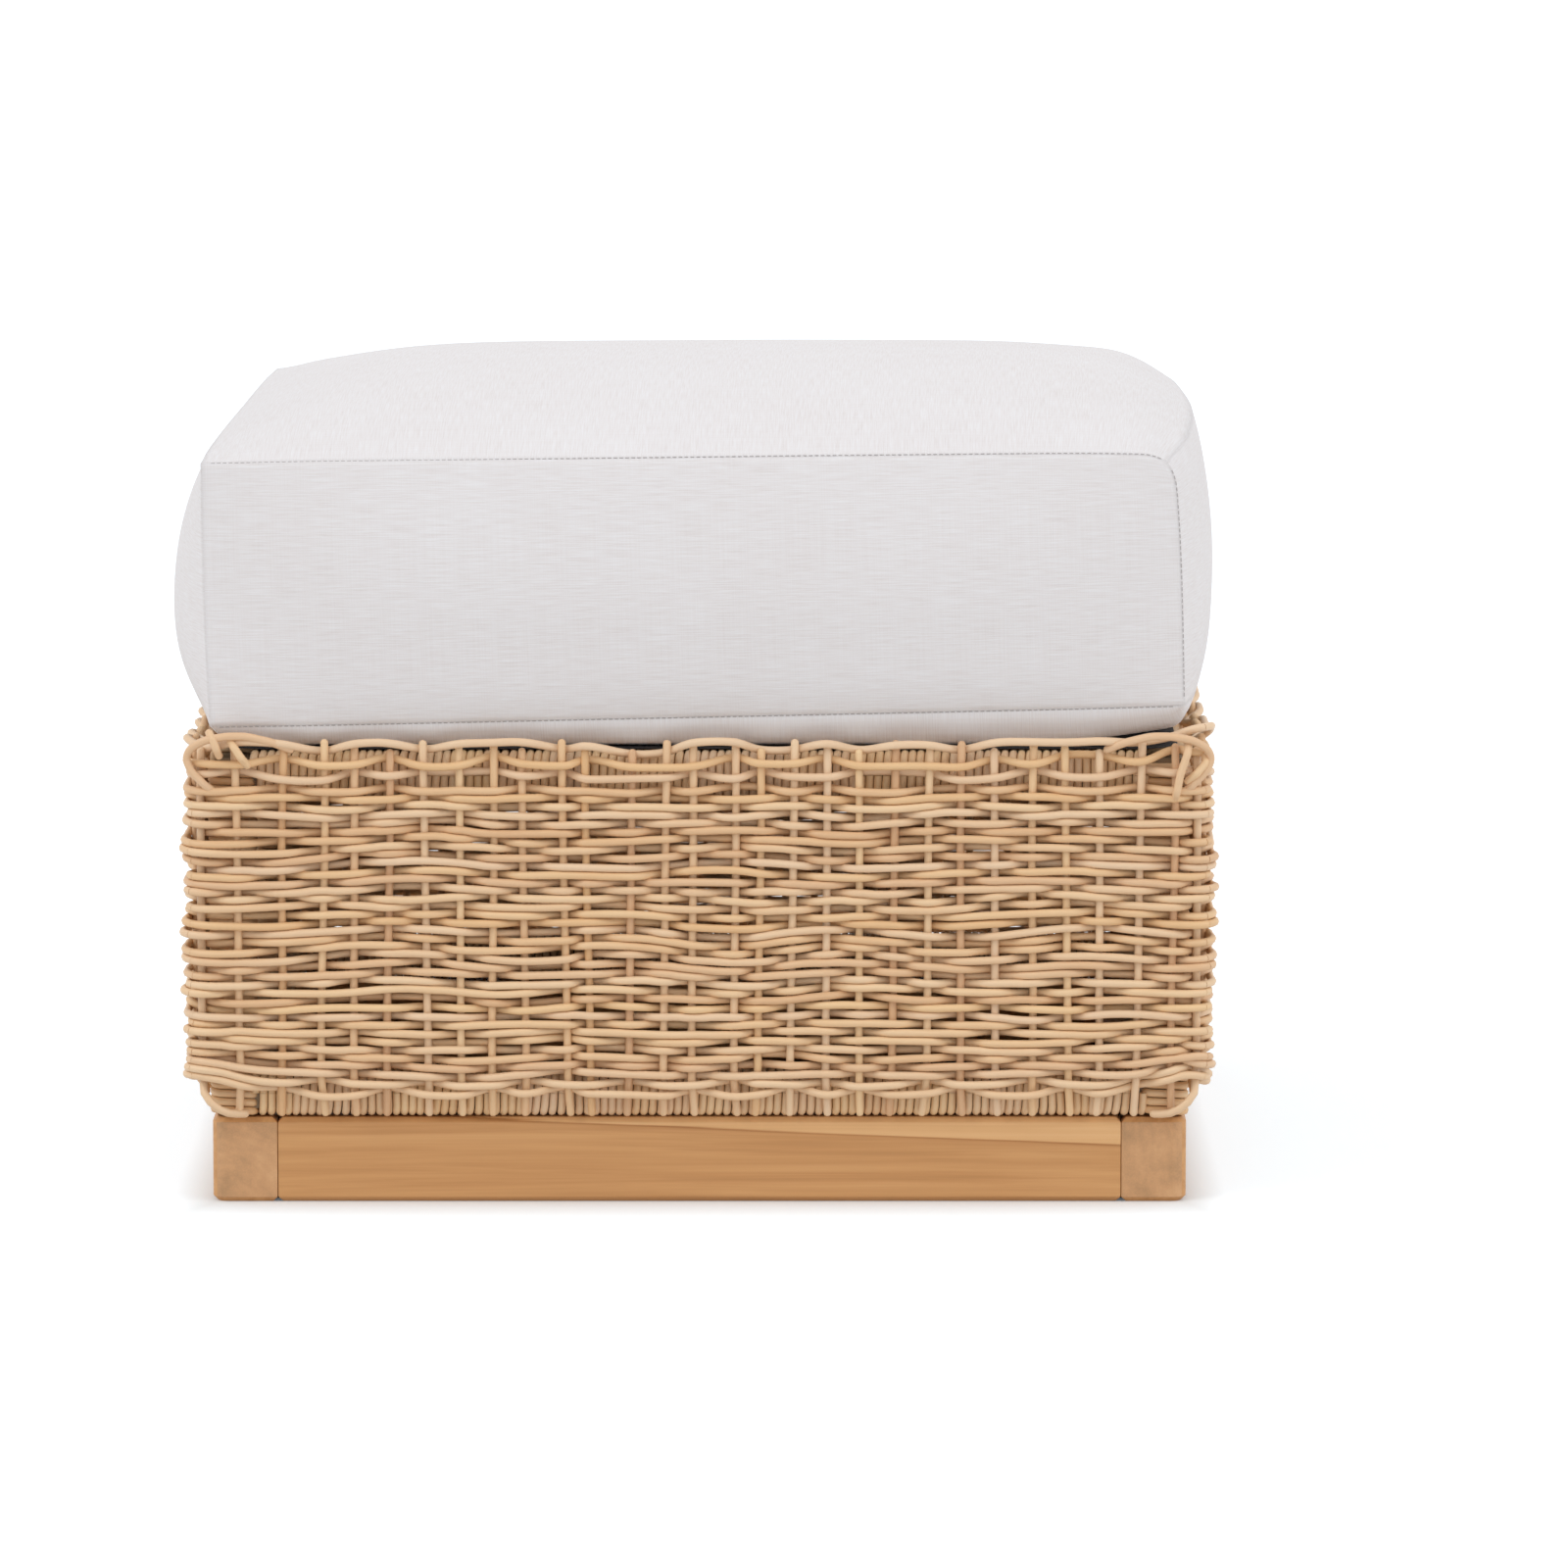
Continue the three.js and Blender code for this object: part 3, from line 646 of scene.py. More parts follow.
def place_piece(
    name: str,
    mesh: bpy.types.Mesh,
    finish: Finish,
    body: Body,
    stands_for: tuple[str, ...] = (),
) -> bpy.types.Object:
    """Puts a finished mesh in the scene as a piece of the footstool.

    Args:
        name: The piece's name.
        mesh: Its mesh, already in place.
        finish: What it is made of.
        body: The body it rides on.
        stands_for: The frame's nodes it replaces.

    Returns:
        The piece.
    """
    if not mesh.materials:
        mesh.materials.append(finish.material())
    piece = bpy.data.objects.new(name, mesh)
    bpy.context.scene.collection.objects.link(piece)
    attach(piece, body.value)
    if stands_for:
        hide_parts(*stands_for)
    faces = sum(len(p.vertices) - 2 for p in mesh.polygons)
    LOG.info("%s: %d triangles on %s", name, faces, body.value)
    return piece


def dress_node(node: str, finish: Finish) -> None:
    """Gives a node of the frame its finish.

    Args:
        node: The node's name.
        finish: What it is made of.
    """
    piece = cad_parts[node]
    if not piece.material_slots:
        piece.data.materials.append(finish.material())
    for place in piece.material_slots:
        place.material = finish.material()
    LOG.info("%s: dressed as %s", node, finish.title)


@dataclass(frozen=True)
class Strand:
    """One length of round strand or thread."""

    # How far out along an end, and the share of the radius there
    round_end: ClassVar[tuple[tuple[float, float], ...]] = ((0.45, 0.89), (0.8, 0.6), (1.0, 0.0))
    cut_end: ClassVar[tuple[tuple[float, float], ...]] = ((0.02, 0.0),)
    points: np.ndarray
    tone: float = 0.5
    tip: float = 0.0  # how far the rounding of its two ends reaches

    def rounded(self, radius: float) -> tuple[np.ndarray, np.ndarray]:
        """Closes the ends, rounded where the strand has a tip.

        Args:
            radius: The strand's radius.

        Returns:
            Points, and the share of the radius at each.
        """
        points = self.points
        first = points[0] - points[1]
        last = points[-1] - points[-2]
        first = first / np.linalg.norm(first)
        last = last / np.linalg.norm(last)
        steps = self.round_end if self.tip else self.cut_end
        reach = self.tip if self.tip else radius
        head = [points[0] + first * reach * far for far, _ in reversed(steps)]
        tail = [points[-1] + last * reach * far for far, _ in steps]
        shares = [share for _, share in steps]
        all_points = np.vstack([head, points, tail])
        all_shares = np.array(shares[::-1] + [1.0] * len(points) + shares)
        return all_points, all_shares


GRAIN_SHIFT = 3.7  # metres along the grain from the palest strand's streaks to the darkest's
BLUSH_TURNS = 17.31  # scatters the blush among strands of nearly the same tone


def strand_mesh(name: str, strands: list[Strand], radius: float, sides: int = 8) -> bpy.types.Mesh:
    """Makes one mesh of many strands, each a closed tube.

    Every point carries the strand's tone and blush, and its place along and
    round the strand in metres, which the finish draws its streaks by.

    Args:
        name: The mesh's name.
        strands: The strands.
        radius: Their radius.
        sides: Faces round each, an even number from 4.

    Returns:
        The mesh.
    """
    curve = bpy.data.curves.new(name, "CURVE")
    curve.dimensions = "3D"
    curve.bevel_depth = radius
    curve.bevel_resolution = (sides - 4) // 2
    tones, runs = [], []
    for strand in strands:
        points, shares = strand.rounded(radius)
        spline = curve.splines.new("POLY")
        spline.points.add(len(points) - 1)
        spline.points.foreach_set("co", np.c_[points, np.ones(len(points))].ravel())
        spline.points.foreach_set("radius", shares)
        steps = np.linalg.norm(np.diff(points, axis=0), axis=1)
        runs.append(np.concatenate([[0.0], np.cumsum(steps)]) + GRAIN_SHIFT * strand.tone)
        tones.append(np.full(len(points), strand.tone))
    holder = bpy.data.objects.new(name, curve)
    bpy.context.scene.collection.objects.link(holder)
    graph = bpy.context.evaluated_depsgraph_get()
    mesh = bpy.data.meshes.new_from_object(holder.evaluated_get(graph))
    bpy.data.objects.remove(holder)
    bpy.data.curves.remove(curve)
    while mesh.uv_layers:
        mesh.uv_layers.remove(mesh.uv_layers[0])
    run = np.repeat(np.concatenate(runs), sides)
    angle = np.tile(np.arange(sides) * 2 * np.pi / sides, len(run) // sides)
    grain = np.c_[run, np.cos(angle) * radius, np.sin(angle) * radius]
    tone = np.repeat(np.concatenate(tones), sides)
    mesh.attributes.new("tone", "FLOAT", "POINT").data.foreach_set("value", tone)
    blush = mesh.attributes.new("blush", "FLOAT", "POINT")
    blush.data.foreach_set("value", (tone * BLUSH_TURNS) % 1.0)
    mesh.attributes.new("grain", "FLOAT_VECTOR", "POINT").data.foreach_set("vector", grain.ravel())
    bm = bmesh.new()
    bm.from_mesh(mesh)
    open_ends = [v for v in bm.verts if v.is_boundary]
    bmesh.ops.remove_doubles(bm, verts=open_ends, dist=WELD)
    bmesh.ops.recalc_face_normals(bm, faces=bm.faces)
    for edge in bm.edges:
        edge.smooth = edge.calc_face_angle(0.0) < CRISP_ANGLE
    bm.to_mesh(mesh)
    bm.free()
    mesh.polygons.foreach_set("use_smooth", [True] * len(mesh.polygons))
    return mesh


def softened_copy(node: str, edge: float, segments: int) -> bmesh.types.BMesh:
    """Copies a node's mesh and rounds its sharp edges.

    Args:
        node: The node's name.
        edge: Width of the rounding.
        segments: Steps in it.

    Returns:
        The softened bmesh.
    """
    bm = bmesh.new()
    bm.from_mesh(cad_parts[node].data)
    bmesh.ops.remove_doubles(bm, verts=bm.verts, dist=WELD)
    bmesh.ops.dissolve_limit(bm, angle_limit=math.radians(2), verts=bm.verts, edges=bm.edges)
    whole = [e for e in bm.edges if len(e.link_faces) == 2]
    sharp = [e for e in whole if e.calc_face_angle() > EDGE_ANGLE]
    bmesh.ops.bevel(
        bm,
        geom=sharp,
        offset=edge,
        offset_type="OFFSET",
        segments=segments,
        profile=0.5,
        affect="EDGES",
        clamp_overlap=True,
        material=-1,
    )
    bmesh.ops.recalc_face_normals(bm, faces=bm.faces)
    return bm


# The woven body


def smooth_noise(
    rng: np.random.Generator, count: int, length: float, waves: tuple[float, float]
) -> np.ndarray:
    """Makes a seeded wavering line that closes on itself.

    Args:
        rng: The seeded source.
        count: Number of samples.
        length: Length of the line in metres.
        waves: Shortest and longest wave in metres.

    Returns:
        Values between about -1 and 1.
    """
    layers = 7
    tallest = 3.2  # about how far the layers reach together
    turn = np.linspace(0, 2 * np.pi, count, endpoint=False)
    lowest, highest = length / waves[1], length / waves[0]
    line = np.zeros(count)
    for _ in range(layers):
        line += np.sin(round(rng.uniform(lowest, highest)) * turn + rng.uniform(0, 2 * np.pi))
    return line / tallest


@dataclass
class WickerBody:
    """The woven sides, their stakes and the wound rails and posts."""

    half_width: float = 316.5 * MM
    half_depth: float = 292.5 * MM
    corner_radius: float = 22 * MM
    strand: float = 5.0 * MM
    tight_strand: float = 5.3 * MM  # of the back's rows, which are beaten tighter

    # Rows, from the lowest up. Depths are measured in from the outer face.
    front_depth: float = 2.5 * MM
    behind_depth: float = 12.7 * MM
    slack: float = 0.7 * MM
    row_low: float = 70.8 * MM
    row_pitch: float = 5.18 * MM
    even_rows: int = 37
    loose_rows: tuple[float, ...] = mm(266.4, 274.8, 283.6)
    rim_limit: float = 297.0 * MM
    corner_loops: tuple[float, float] = (0.4 * MM, 4.6 * MM)  # how far rows stand out there
    bound_rows: int = 6  # the highest, which the binding holds in at the corners
    steps: int = 7  # samples of a row between two stakes
    cut_step: float = 0.3 * MM  # a row's short last step, square to its cut
    row_tones: tuple[float, float] = (0.5, 0.13)  # mean and spread

    # Where rows pass behind stakes
    first_stakes: int = 4  # among which a row first dips
    shift_share: float = 0.82  # how often a dip moves on where the last row has one
    double_share: float = 0.08
    floats: tuple[int, ...] = (2, 3, 4)  # stakes from one dip to the next
    float_shares: tuple[float, ...] = (0.38, 0.44, 0.18)

    # How the rows lie: outward parts sway up or down, bands of rows drift together, each row
    # wavers, and the outermost rows rise or sink near the corners.
    sway: float = 0.5 * MM
    foot_sways: tuple[float, ...] = mm(-2.4, -1.0)
    rim_sways: tuple[float, ...] = mm(-0.8, -1.6, -2.6, 3.8)
    bands: int = 8
    drift: float = 3.0 * MM
    drift_waves: tuple[float, float] = (110 * MM, 520 * MM)
    drift_arch: tuple[float, float] = (0.04, 0.93)  # shares of a half wave, foot to rim
    waver: float = 1.2 * MM
    rim_wavers: tuple[float, ...] = mm(1.5, 1.3, 0.8)
    waver_waves: tuple[float, float] = (80 * MM, 300 * MM)
    foot_rises: tuple[float, ...] = mm(15, 12, 9, 6.5, 4.2, 2.4, 1.2, 0.5)
    foot_rise_reach: float = 24 * MM
    rim_rises: tuple[float, ...] = mm(1.0, 1.5, 0.5)
    rim_rise_reach: float = 30 * MM
    front_right_rises: tuple[float, ...] = mm(1.5, 4.0, 9.0)
    front_right_reach: float = 46 * MM
    side_drops: tuple[float, ...] = mm(1.0, 3.0)  # of the rim on the left and right
    drop_from: float = 0.8  # in rim reaches from a corner
    back_blend: float = 40 * MM
    back_calm: float = 0.85  # share of the wavering that the beaten back loses
    back_lean: float = 3.0  # turns the back's sway round, which closes it seen from inside
    back_rows: tuple[int, int] = (3, -4)  # from and to which row it does
    beats: int = 90
    beat_pull: float = 0.06
    beat_evening: float = 0.2
    beat_squeeze: float = 0.03 * MM

    # Stakes
    stake_depth: float = 7.6 * MM
    front_stakes: tuple[float, ...] = mm(
        -282, -255, -230, -211, -190, -167, -146, -126, -107, -82, -68, -42, -21, -4, 22,
        37, 57, 78, 98, 119, 140, 160, 181, 204, 225, 245, 269, 290,
    )  # from the middle
    side_stake_count: int = 25
    stake_margin: float = 10 * MM
    stake_stray_share: float = 0.14
    stake_levels: tuple[float, ...] = mm(56.6, 60, 65, 71, 78, 100, 140, 180, 220, 255, 272)
    side_foot_levels: tuple[float, ...] = mm(66.5, 68.5, 71, 74)  # the lowest, left and right
    foot_depths: tuple[float, ...] = mm(12.6, 12.4, 11.4, 9.2, 7.9)
    tip_heights: tuple[float, ...] = mm(287.4, 283.2, 288.6, 284.8, 282.4, 288.0, 286.0)
    tip_round: float = 2.4 * MM
    tip_set_back: float = 0.8 * MM
    stake_lean: float = 1.7 * MM
    stake_bow: float = 0.8 * MM
    foot_stray: float = 2.2 * MM
    foot_run: float = 21 * MM
    foot_top: float = 78 * MM
    stake_tones: tuple[float, float] = (0.5, 0.2)

    # Corner stakes, from the foot up: height, way in from the corner, and depth
    corner_levels: tuple[float, ...] = mm(
        55.8, 56.2, 57.2, 60, 64.5, 70, 75.5, 81, 88, 100, 170, 220, 262, 281
    )
    corner_curl: tuple[float, ...] = mm(27, 22, 17, 11.6, 7.4, 4.0, 1.8, 0.6, 0, 0, 0, 0, 0, 0)
    corner_depths: tuple[float, ...] = mm(
        12, 9.5, 6.6, 4.2, 3.0, 3.6, 6.4, 7.6, 7.6, 7.6, 7.6, 7.6, 7.8, 8.4
    )
    corner_tone: float = 0.62

    # The binding's ways: run from the middle, height and depth in millimetres
    binding_loop: tuple[tuple[float, float, float], ...] = (
        (249.2, 282.4, 6), (260.1, 287.3, 2.2), (275.7, 291.2, 0.4), (287.7, 291.4, -1.2),
        (298.5, 289.1, -2.4), (304.1, 283.7, -3.2), (306.4, 277.3, -3.4), (304.1, 269.7, -2.9),
        (299, 260.8, 0.5), (295.5, 256, 6.6),
    )
    left_ends: tuple[tuple[tuple[float, float, float], ...], ...] = (
        ((297.5, 293, 2.6), (295.5, 290, -2.4), (294, 284, -2.9), (292.5, 279, 2.6)),
        ((286, 288.5, 2), (283, 284.5, -2.2), (279, 278.5, -2.3), (275.5, 273, 3.4)),
    )
    right_ends: tuple[tuple[tuple[float, float, float], ...], ...] = (
        (
            (297.8, 288, 2.4), (296.5, 281, -2.3), (293.5, 268, -2.4), (291.5, 257, -2.2),
            (290.6, 252, 4),
        ),
        ((306, 279, 2.2), (304, 275, -2.6), (300, 268.5, -2.4), (297.5, 263.5, 2.6)),
    )
    binding_tones: tuple[float, ...] = (0.4, 0.5, 0.6)
    binding_points: tuple[int, int] = (14, 4)  # for a way, and more for each of its places

    # Windings
    wound_half: float = 12.7 * MM  # from a tube's centre to the wound strand's
    wound_pitch: float = 5.1 * MM
    wound_bottom: float = 53.2 * MM
    wound_top: float = 279.6 * MM
    turn_points: int = 16
    rail_depth: float = 30.6 * MM  # of a rail's centre
    rail_overlap: float = 4.4 * MM  # how much longer a winding is than its rail
    foot_rail: tuple[float, float] = (67.9 * MM, 1.3 * MM)  # height, and how far its turns lean
    rim_rail: tuple[float, float] = (264.9 * MM, 0.6 * MM)
    post_lean: float = 0.5 * MM
    lean_waves: tuple[float, float] = (50 * MM, 160 * MM)
    straight_turns: int = 4  # at each end
    # Paler than the rows' tones: painted light, so that the wound rails, shaded by the rows in front
    # of them, look brightly lit.
    wound_tones_painted_light: tuple[float, float] = (0.68, 0.12)
    tone_turns: int = 4  # that share a tone
    post_tones: tuple[float, ...] = (0.3, 0.42, 0.54, 0.36, 0.48)  # turn by turn

    def __post_init__(self) -> None:
        """Seeds the weaver's hand."""
        self.rng = np.random.default_rng(SEED)

    # Layout

    def spans(self, side: Side) -> tuple[float, float]:
        """Returns half the straight run of a side, and its distance out."""
        even = side in (Side.FRONT, Side.BACK)
        along = self.half_width if even else self.half_depth
        out = self.half_depth if even else self.half_width
        return along - self.corner_radius, out

    def half_length(self, side: Side) -> float:
        """Returns the run from a side's middle to its corner, at the stakes."""
        straight, _ = self.spans(side)
        return straight + (self.corner_radius - self.stake_depth) * math.pi / 4

    def lay(self, side: Side, run: np.ndarray, depth: np.ndarray, height: np.ndarray) -> np.ndarray:
        """Places points on a side.

        Args:
            side: The side.
            run: Distance from the side's middle along the stakes.
            depth: Distance in from the outer face.
            height: Height over the floor.

        Returns:
            N by 3 array.
        """
        straight, out = self.spans(side)
        over = np.maximum(np.abs(run) - straight, 0.0)
        angle = np.sign(run) * over / (self.corner_radius - self.stake_depth)
        flat = np.clip(run, -straight, straight)
        reach = self.corner_radius - depth
        x = flat + np.sin(angle) * reach
        y = -(out - self.corner_radius) - np.cos(angle) * reach
        return side.turn(np.c_[x, y, height * np.ones_like(x)])

    def stake_runs(self, side: Side) -> np.ndarray:
        """Returns where the stakes of a side stand, between its corners."""
        if side is Side.FRONT:
            return np.array(self.front_stakes)
        straight, _ = self.spans(side)
        count = len(self.front_stakes) if side is Side.BACK else self.side_stake_count
        pitch = 2 * (straight - self.stake_margin) / (count - 1)
        even = (np.arange(count) - (count - 1) / 2) * pitch
        stray = self.stake_stray_share
        return even + self.rng.uniform(-stray, stray, count) * pitch

    def place(self, name: str, strands: list[Strand], node: str, thick: float = 0.0) -> None:
        """Puts strands in the scene as one piece.

        Args:
            name: The piece's name.
            strands: Its strands.
            node: The node it stands for.
            thick: How thick they are, where it isn't the usual.
        """
        mesh = strand_mesh(name, strands, (thick or self.strand) / 2)
        place_piece(name, mesh, ResinStrand(), Body.STOOL, (node,))

    # Rows

    def over_and_under(self, rows: int, stakes: int) -> np.ndarray:
        """Chooses where each row passes behind a stake.

        Each row floats over one to three stakes and then dips behind one, and
        no stake stays bare for more than two rows, or covered for more than three.

        Args:
            rows: Number of rows.
            stakes: Number of stakes round the body.

        Returns:
            True where a row is behind a stake.
        """
        behind = np.zeros((rows, stakes), bool)
        for row in range(rows):
            place = int(self.rng.integers(0, self.first_stakes))
            while place < stakes:
                if row and behind[row - 1, place] and self.rng.random() < self.shift_share:
                    place = min(place + 1, stakes - 1)
                behind[row, place] = True
                if self.rng.random() < self.double_share:
                    behind[row, min(place + 1, stakes - 1)] = True
                    place += 1
                place += int(self.rng.choice(self.floats, p=self.float_shares))
        for stake in range(stakes):
            for row in range(3, rows):
                if behind[row - 2 : row, stake].all():
                    behind[row, stake] = False
                elif not behind[row - 3 : row, stake].any():
                    behind[row, stake] = True
        return behind

    def row_depths(self, behind: np.ndarray, corners: np.ndarray) -> np.ndarray:
        """Turns over and under into a depth at every sample.

        Args:
            behind: True where a row is behind a stake.
            corners: Numbers of the stakes that stand at the corners.

        Returns:
            Rows by samples.
        """
        rows, stakes = behind.shape
        loose = self.rng.uniform(0, self.slack, (rows, stakes))
        at_stake = np.where(behind, self.behind_depth - 0.5 * loose, self.front_depth + loose)
        loops = self.rng.uniform(*self.corner_loops, (rows, len(corners)))
        loops[-self.bound_rows :] = 0.0
        at_stake[:, corners] -= loops * ~behind[:, corners]
        share = (1 - np.cos(np.pi * np.arange(self.steps) / self.steps)) / 2
        after = np.roll(at_stake, -1, axis=1)
        depths = at_stake[:, :, None] + (after - at_stake)[:, :, None] * share
        return depths.reshape(rows, stakes * self.steps)

    def row_heights(self, depths: np.ndarray, length: float) -> np.ndarray:
        """Lays the rows on each other, wavering, and beats them down.

        Args:
            depths: Rows by samples.
            length: Length of a row in metres.

        Returns:
            Heights, rows by samples.
        """
        rows, count = depths.shape
        run = (np.arange(count) + 0.5) / count * length
        ends = np.cumsum([0] + [2 * self.half_length(side) for side in Side])
        into_back = np.clip((run - ends[2]) / self.back_blend, 0, 1)
        back = into_back * np.clip((ends[3] - run) / self.back_blend, 0, 1)
        calm = 1 - self.back_calm * back
        base = self.row_low + np.arange(self.even_rows) * self.row_pitch
        base = np.concatenate([base, np.array(self.loose_rows)])
        sway = np.full(rows, self.sway)
        sway[: len(self.foot_sways)] = self.foot_sways
        sway[-len(self.rim_sways) :] = self.rim_sways
        lean = np.ones((rows, count))
        lean[slice(*self.back_rows)] = 1 - self.back_lean * back
        middle = (self.front_depth + self.behind_depth) / 2
        outward = (middle - depths) / (self.behind_depth - self.front_depth)
        target = base[:, None] + sway[:, None] * 2 * outward * lean
        target += self.drifting(rows, count, length) * calm
        self.shape_corners(target, run, ends)
        waver = np.full(rows, self.waver)
        waver[-len(self.rim_wavers) :] = self.rim_wavers
        for row in range(rows):
            line = smooth_noise(self.rng, count, length, self.waver_waves)
            target[row] += waver[row] * line * calm
        return self.beaten(target, depths)

    def drifting(self, rows: int, count: int, length: float) -> np.ndarray:
        """Lets bands of rows rise and sink together, most in the middle of the height.

        Args:
            rows: Number of rows.
            count: Samples in a row.
            length: Length of a row in metres.

        Returns:
            Rises, rows by samples.
        """
        bands = np.array(
            [smooth_noise(self.rng, count, length, self.drift_waves) for _ in range(self.bands)]
        )
        place = np.linspace(0, self.bands - 1, rows)
        low = np.minimum(place.astype(int), self.bands - 2)
        part = (place - low)[:, None]
        drift = bands[low] * (1 - part) + bands[low + 1] * part
        arch = np.sin(np.pi * np.linspace(*self.drift_arch, rows))
        return drift * (self.drift * arch)[:, None]

    def shape_corners(self, target: np.ndarray, run: np.ndarray, ends: np.ndarray) -> None:
        """Raises the outermost rows near the corners, and lowers the side rims between them.

        Args:
            target: Heights, rows by samples, which are changed.
            run: Distance of each sample along its row.
            ends: Where along a row the sides meet.
        """
        far = np.abs(run[:, None] - ends[None, :]).min(axis=1)
        lowest = slice(0, len(self.foot_rises))
        highest = slice(-len(self.rim_rises), None)
        front_right = hump(run - ends[1], self.front_right_reach)
        for rows, heights, share in (
            (lowest, self.foot_rises, hump(far, self.foot_rise_reach)),
            (highest, self.rim_rises, hump(far, self.rim_rise_reach)),
            (highest, self.front_right_rises, front_right),
        ):
            target[rows] += np.array(heights)[:, None] * share
        beside = (run > ends[1]) & (run < ends[2]) | (run > ends[3])
        away = np.clip(far / self.rim_rise_reach - self.drop_from, 0, 1)
        drops = np.array(self.side_drops)[:, None]
        target[-len(drops) :] -= drops * (beside * away)

    def beaten(self, target: np.ndarray, depths: np.ndarray) -> np.ndarray:
        """Brings the rows near their heights without pressing one into another.

        Args:
            target: Heights that the rows are drawn to, rows by samples.
            depths: Rows by samples.

        Returns:
            Heights, rows by samples.
        """
        heights = target.copy()
        touch = self.strand - self.beat_squeeze
        for _ in range(self.beats):
            heights += self.beat_pull * (target - heights)
            around = np.roll(heights, 1, 1) - 2 * heights + np.roll(heights, -1, 1)
            heights += self.beat_evening * around
            for far in (1, 2, 3):
                apart = depths[far:] - depths[:-far]
                needed = np.sqrt(np.maximum(touch**2 - apart**2, 0.0))
                push = np.maximum(needed - (heights[far:] - heights[:-far]), 0.0) / 2
                heights[far:] += push
                heights[:-far] -= push
        return np.minimum(heights, self.rim_limit)

    def weave(self) -> None:
        """Weaves the forty rows and cuts them at the corners by side."""
        runs = {side: self.stake_runs(side) for side in Side}
        stakes = sum(len(r) + 1 for r in runs.values())
        length = sum(2 * self.half_length(side) for side in Side)
        rows = self.even_rows + len(self.loose_rows)
        corners = np.cumsum([0] + [len(runs[side]) + 1 for side in Side])[:-1]
        depths = self.row_depths(self.over_and_under(rows, stakes), corners)
        heights = self.row_heights(depths, length)
        tones = np.clip(self.rng.normal(*self.row_tones, rows), *TONE_LIMITS)
        first = 0
        for side in Side:
            end = self.half_length(side)
            knots = np.concatenate([[-end], runs[side], [end]])
            share = np.arange(self.steps) / self.steps
            run = (knots[:-1, None] + np.diff(knots)[:, None] * share).ravel()
            run = np.append(run, end)
            index = (first + np.arange(len(run))) % depths.shape[1]
            first += len(run) - 1
            fine = np.sort(np.append(run, (-end + self.cut_step, end - self.cut_step)))
            strands = []
            for row in range(rows):
                depth = np.interp(fine, run, depths[row, index])
                height = np.interp(fine, run, heights[row, index])
                strands.append(Strand(self.lay(side, fine, depth, height), float(tones[row])))
            thick = self.tight_strand if side is Side.BACK else self.strand
            self.place("woven_" + side.label, strands, "weave_" + side.label, thick)
            self.stand_stakes(side, runs[side])

    def stand_stakes(self, side: Side, runs: np.ndarray) -> None:
        """Stands the stakes of a side, rooted against the wound foot rail.

        Args:
            side: The side.
            runs: Where they stand.
        """
        strands = []
        for number, run in enumerate(runs):
            tip = self.tip_heights[(number + 2 * side.value) % len(self.tip_heights)]
            height = np.array([*self.stake_levels, tip - self.tip_round])
            if side in (Side.LEFT, Side.RIGHT):
                height[: len(self.side_foot_levels)] = self.side_foot_levels
            depth = np.full(len(height), self.stake_depth)
            depth[: len(self.foot_depths)] = self.foot_depths
            depth[-1] += self.tip_set_back
            lean = self.rng.uniform(-1, 1) * self.stake_lean
            bow = self.rng.uniform(-1, 1) * self.stake_bow
            share = (height - height[0]) / (height[-1] - height[0])
            in_foot = np.clip((self.foot_top - height) / self.foot_run, 0, 1)
            foot = self.rng.uniform(-1, 1) * self.foot_stray * in_foot
            place = run + lean * (share - 0.5) * 2 + bow * np.sin(2 * np.pi * share) + foot
            tone = float(np.clip(self.rng.normal(*self.stake_tones), *TONE_LIMITS))
            strands.append(Strand(self.lay(side, place, depth, height), tone, self.strand / 2))
        self.place("stakes_" + side.label, strands, "foot_wrap_" + side.label)

    # Wound rails and posts

    def winding(self, turns: int, lean: float) -> np.ndarray:
        """Winds a strand round a square tube that runs along X.

        Args:
            turns: Number of turns.
            lean: How far the turns lean along the tube, at most.

        Returns:
            N by 3 array, centred on the tube, from X 0.
        """
        count = turns * self.turn_points
        angle = np.arange(count + 1) * 2 * np.pi / self.turn_points
        power = 2 / 5  # rounds the square's corners
        y = -np.sign(np.cos(angle)) * np.abs(np.cos(angle)) ** power
        z = np.sign(np.sin(angle)) * np.abs(np.sin(angle)) ** power
        turn = angle / (2 * np.pi)
        slow = smooth_noise(self.rng, count + 1, turns * self.wound_pitch, self.lean_waves)
        from_end = np.clip(np.minimum(turn, turns - turn) / self.straight_turns, 0, 1)
        x = turn * self.wound_pitch + lean * slow * z * from_end
        return np.c_[x, y * self.wound_half, z * self.wound_half]

    def cut(self, coil: np.ndarray) -> list[np.ndarray]:
        """Cuts a winding into single turns that meet end to end."""
        starts = range(0, len(coil) - 1, self.turn_points)
        return [coil[start : start + self.turn_points + 1] for start in starts]

    def wind_rail(self, side: Side, name: str, node: str, centre: float, lean: float) -> None:
        """Winds a foot or rim rail between its two posts.

        Args:
            side: The side.
            name: First part of the piece's name.
            node: First part of the node it stands for.
            centre: Height of the tube's centre.
            lean: How far its turns lean.
        """
        low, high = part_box(node + "_" + side.label)
        span = max(high[0] - low[0], high[1] - low[1])
        turns = round(span / self.wound_pitch) + 1
        coil = self.winding(turns, lean)
        coil[:, 0] -= turns * self.wound_pitch / 2
        coil[:, 0] *= (span + self.rail_overlap) / (turns * self.wound_pitch)
        coil[:, 1] -= self.spans(side)[1] - self.rail_depth
        coil[:, 2] += centre
        # The turns take the paler tones that paint light onto the wound rails.
        tones = np.clip(self.rng.normal(*self.wound_tones_painted_light, turns), *TONE_LIMITS)
        strands = [
            Strand(turn, float(tones[number // self.tone_turns]))
            for number, turn in enumerate(self.cut(side.turn(coil)))
        ]
        self.place(name + "_" + side.label, strands, node + "_" + side.label)

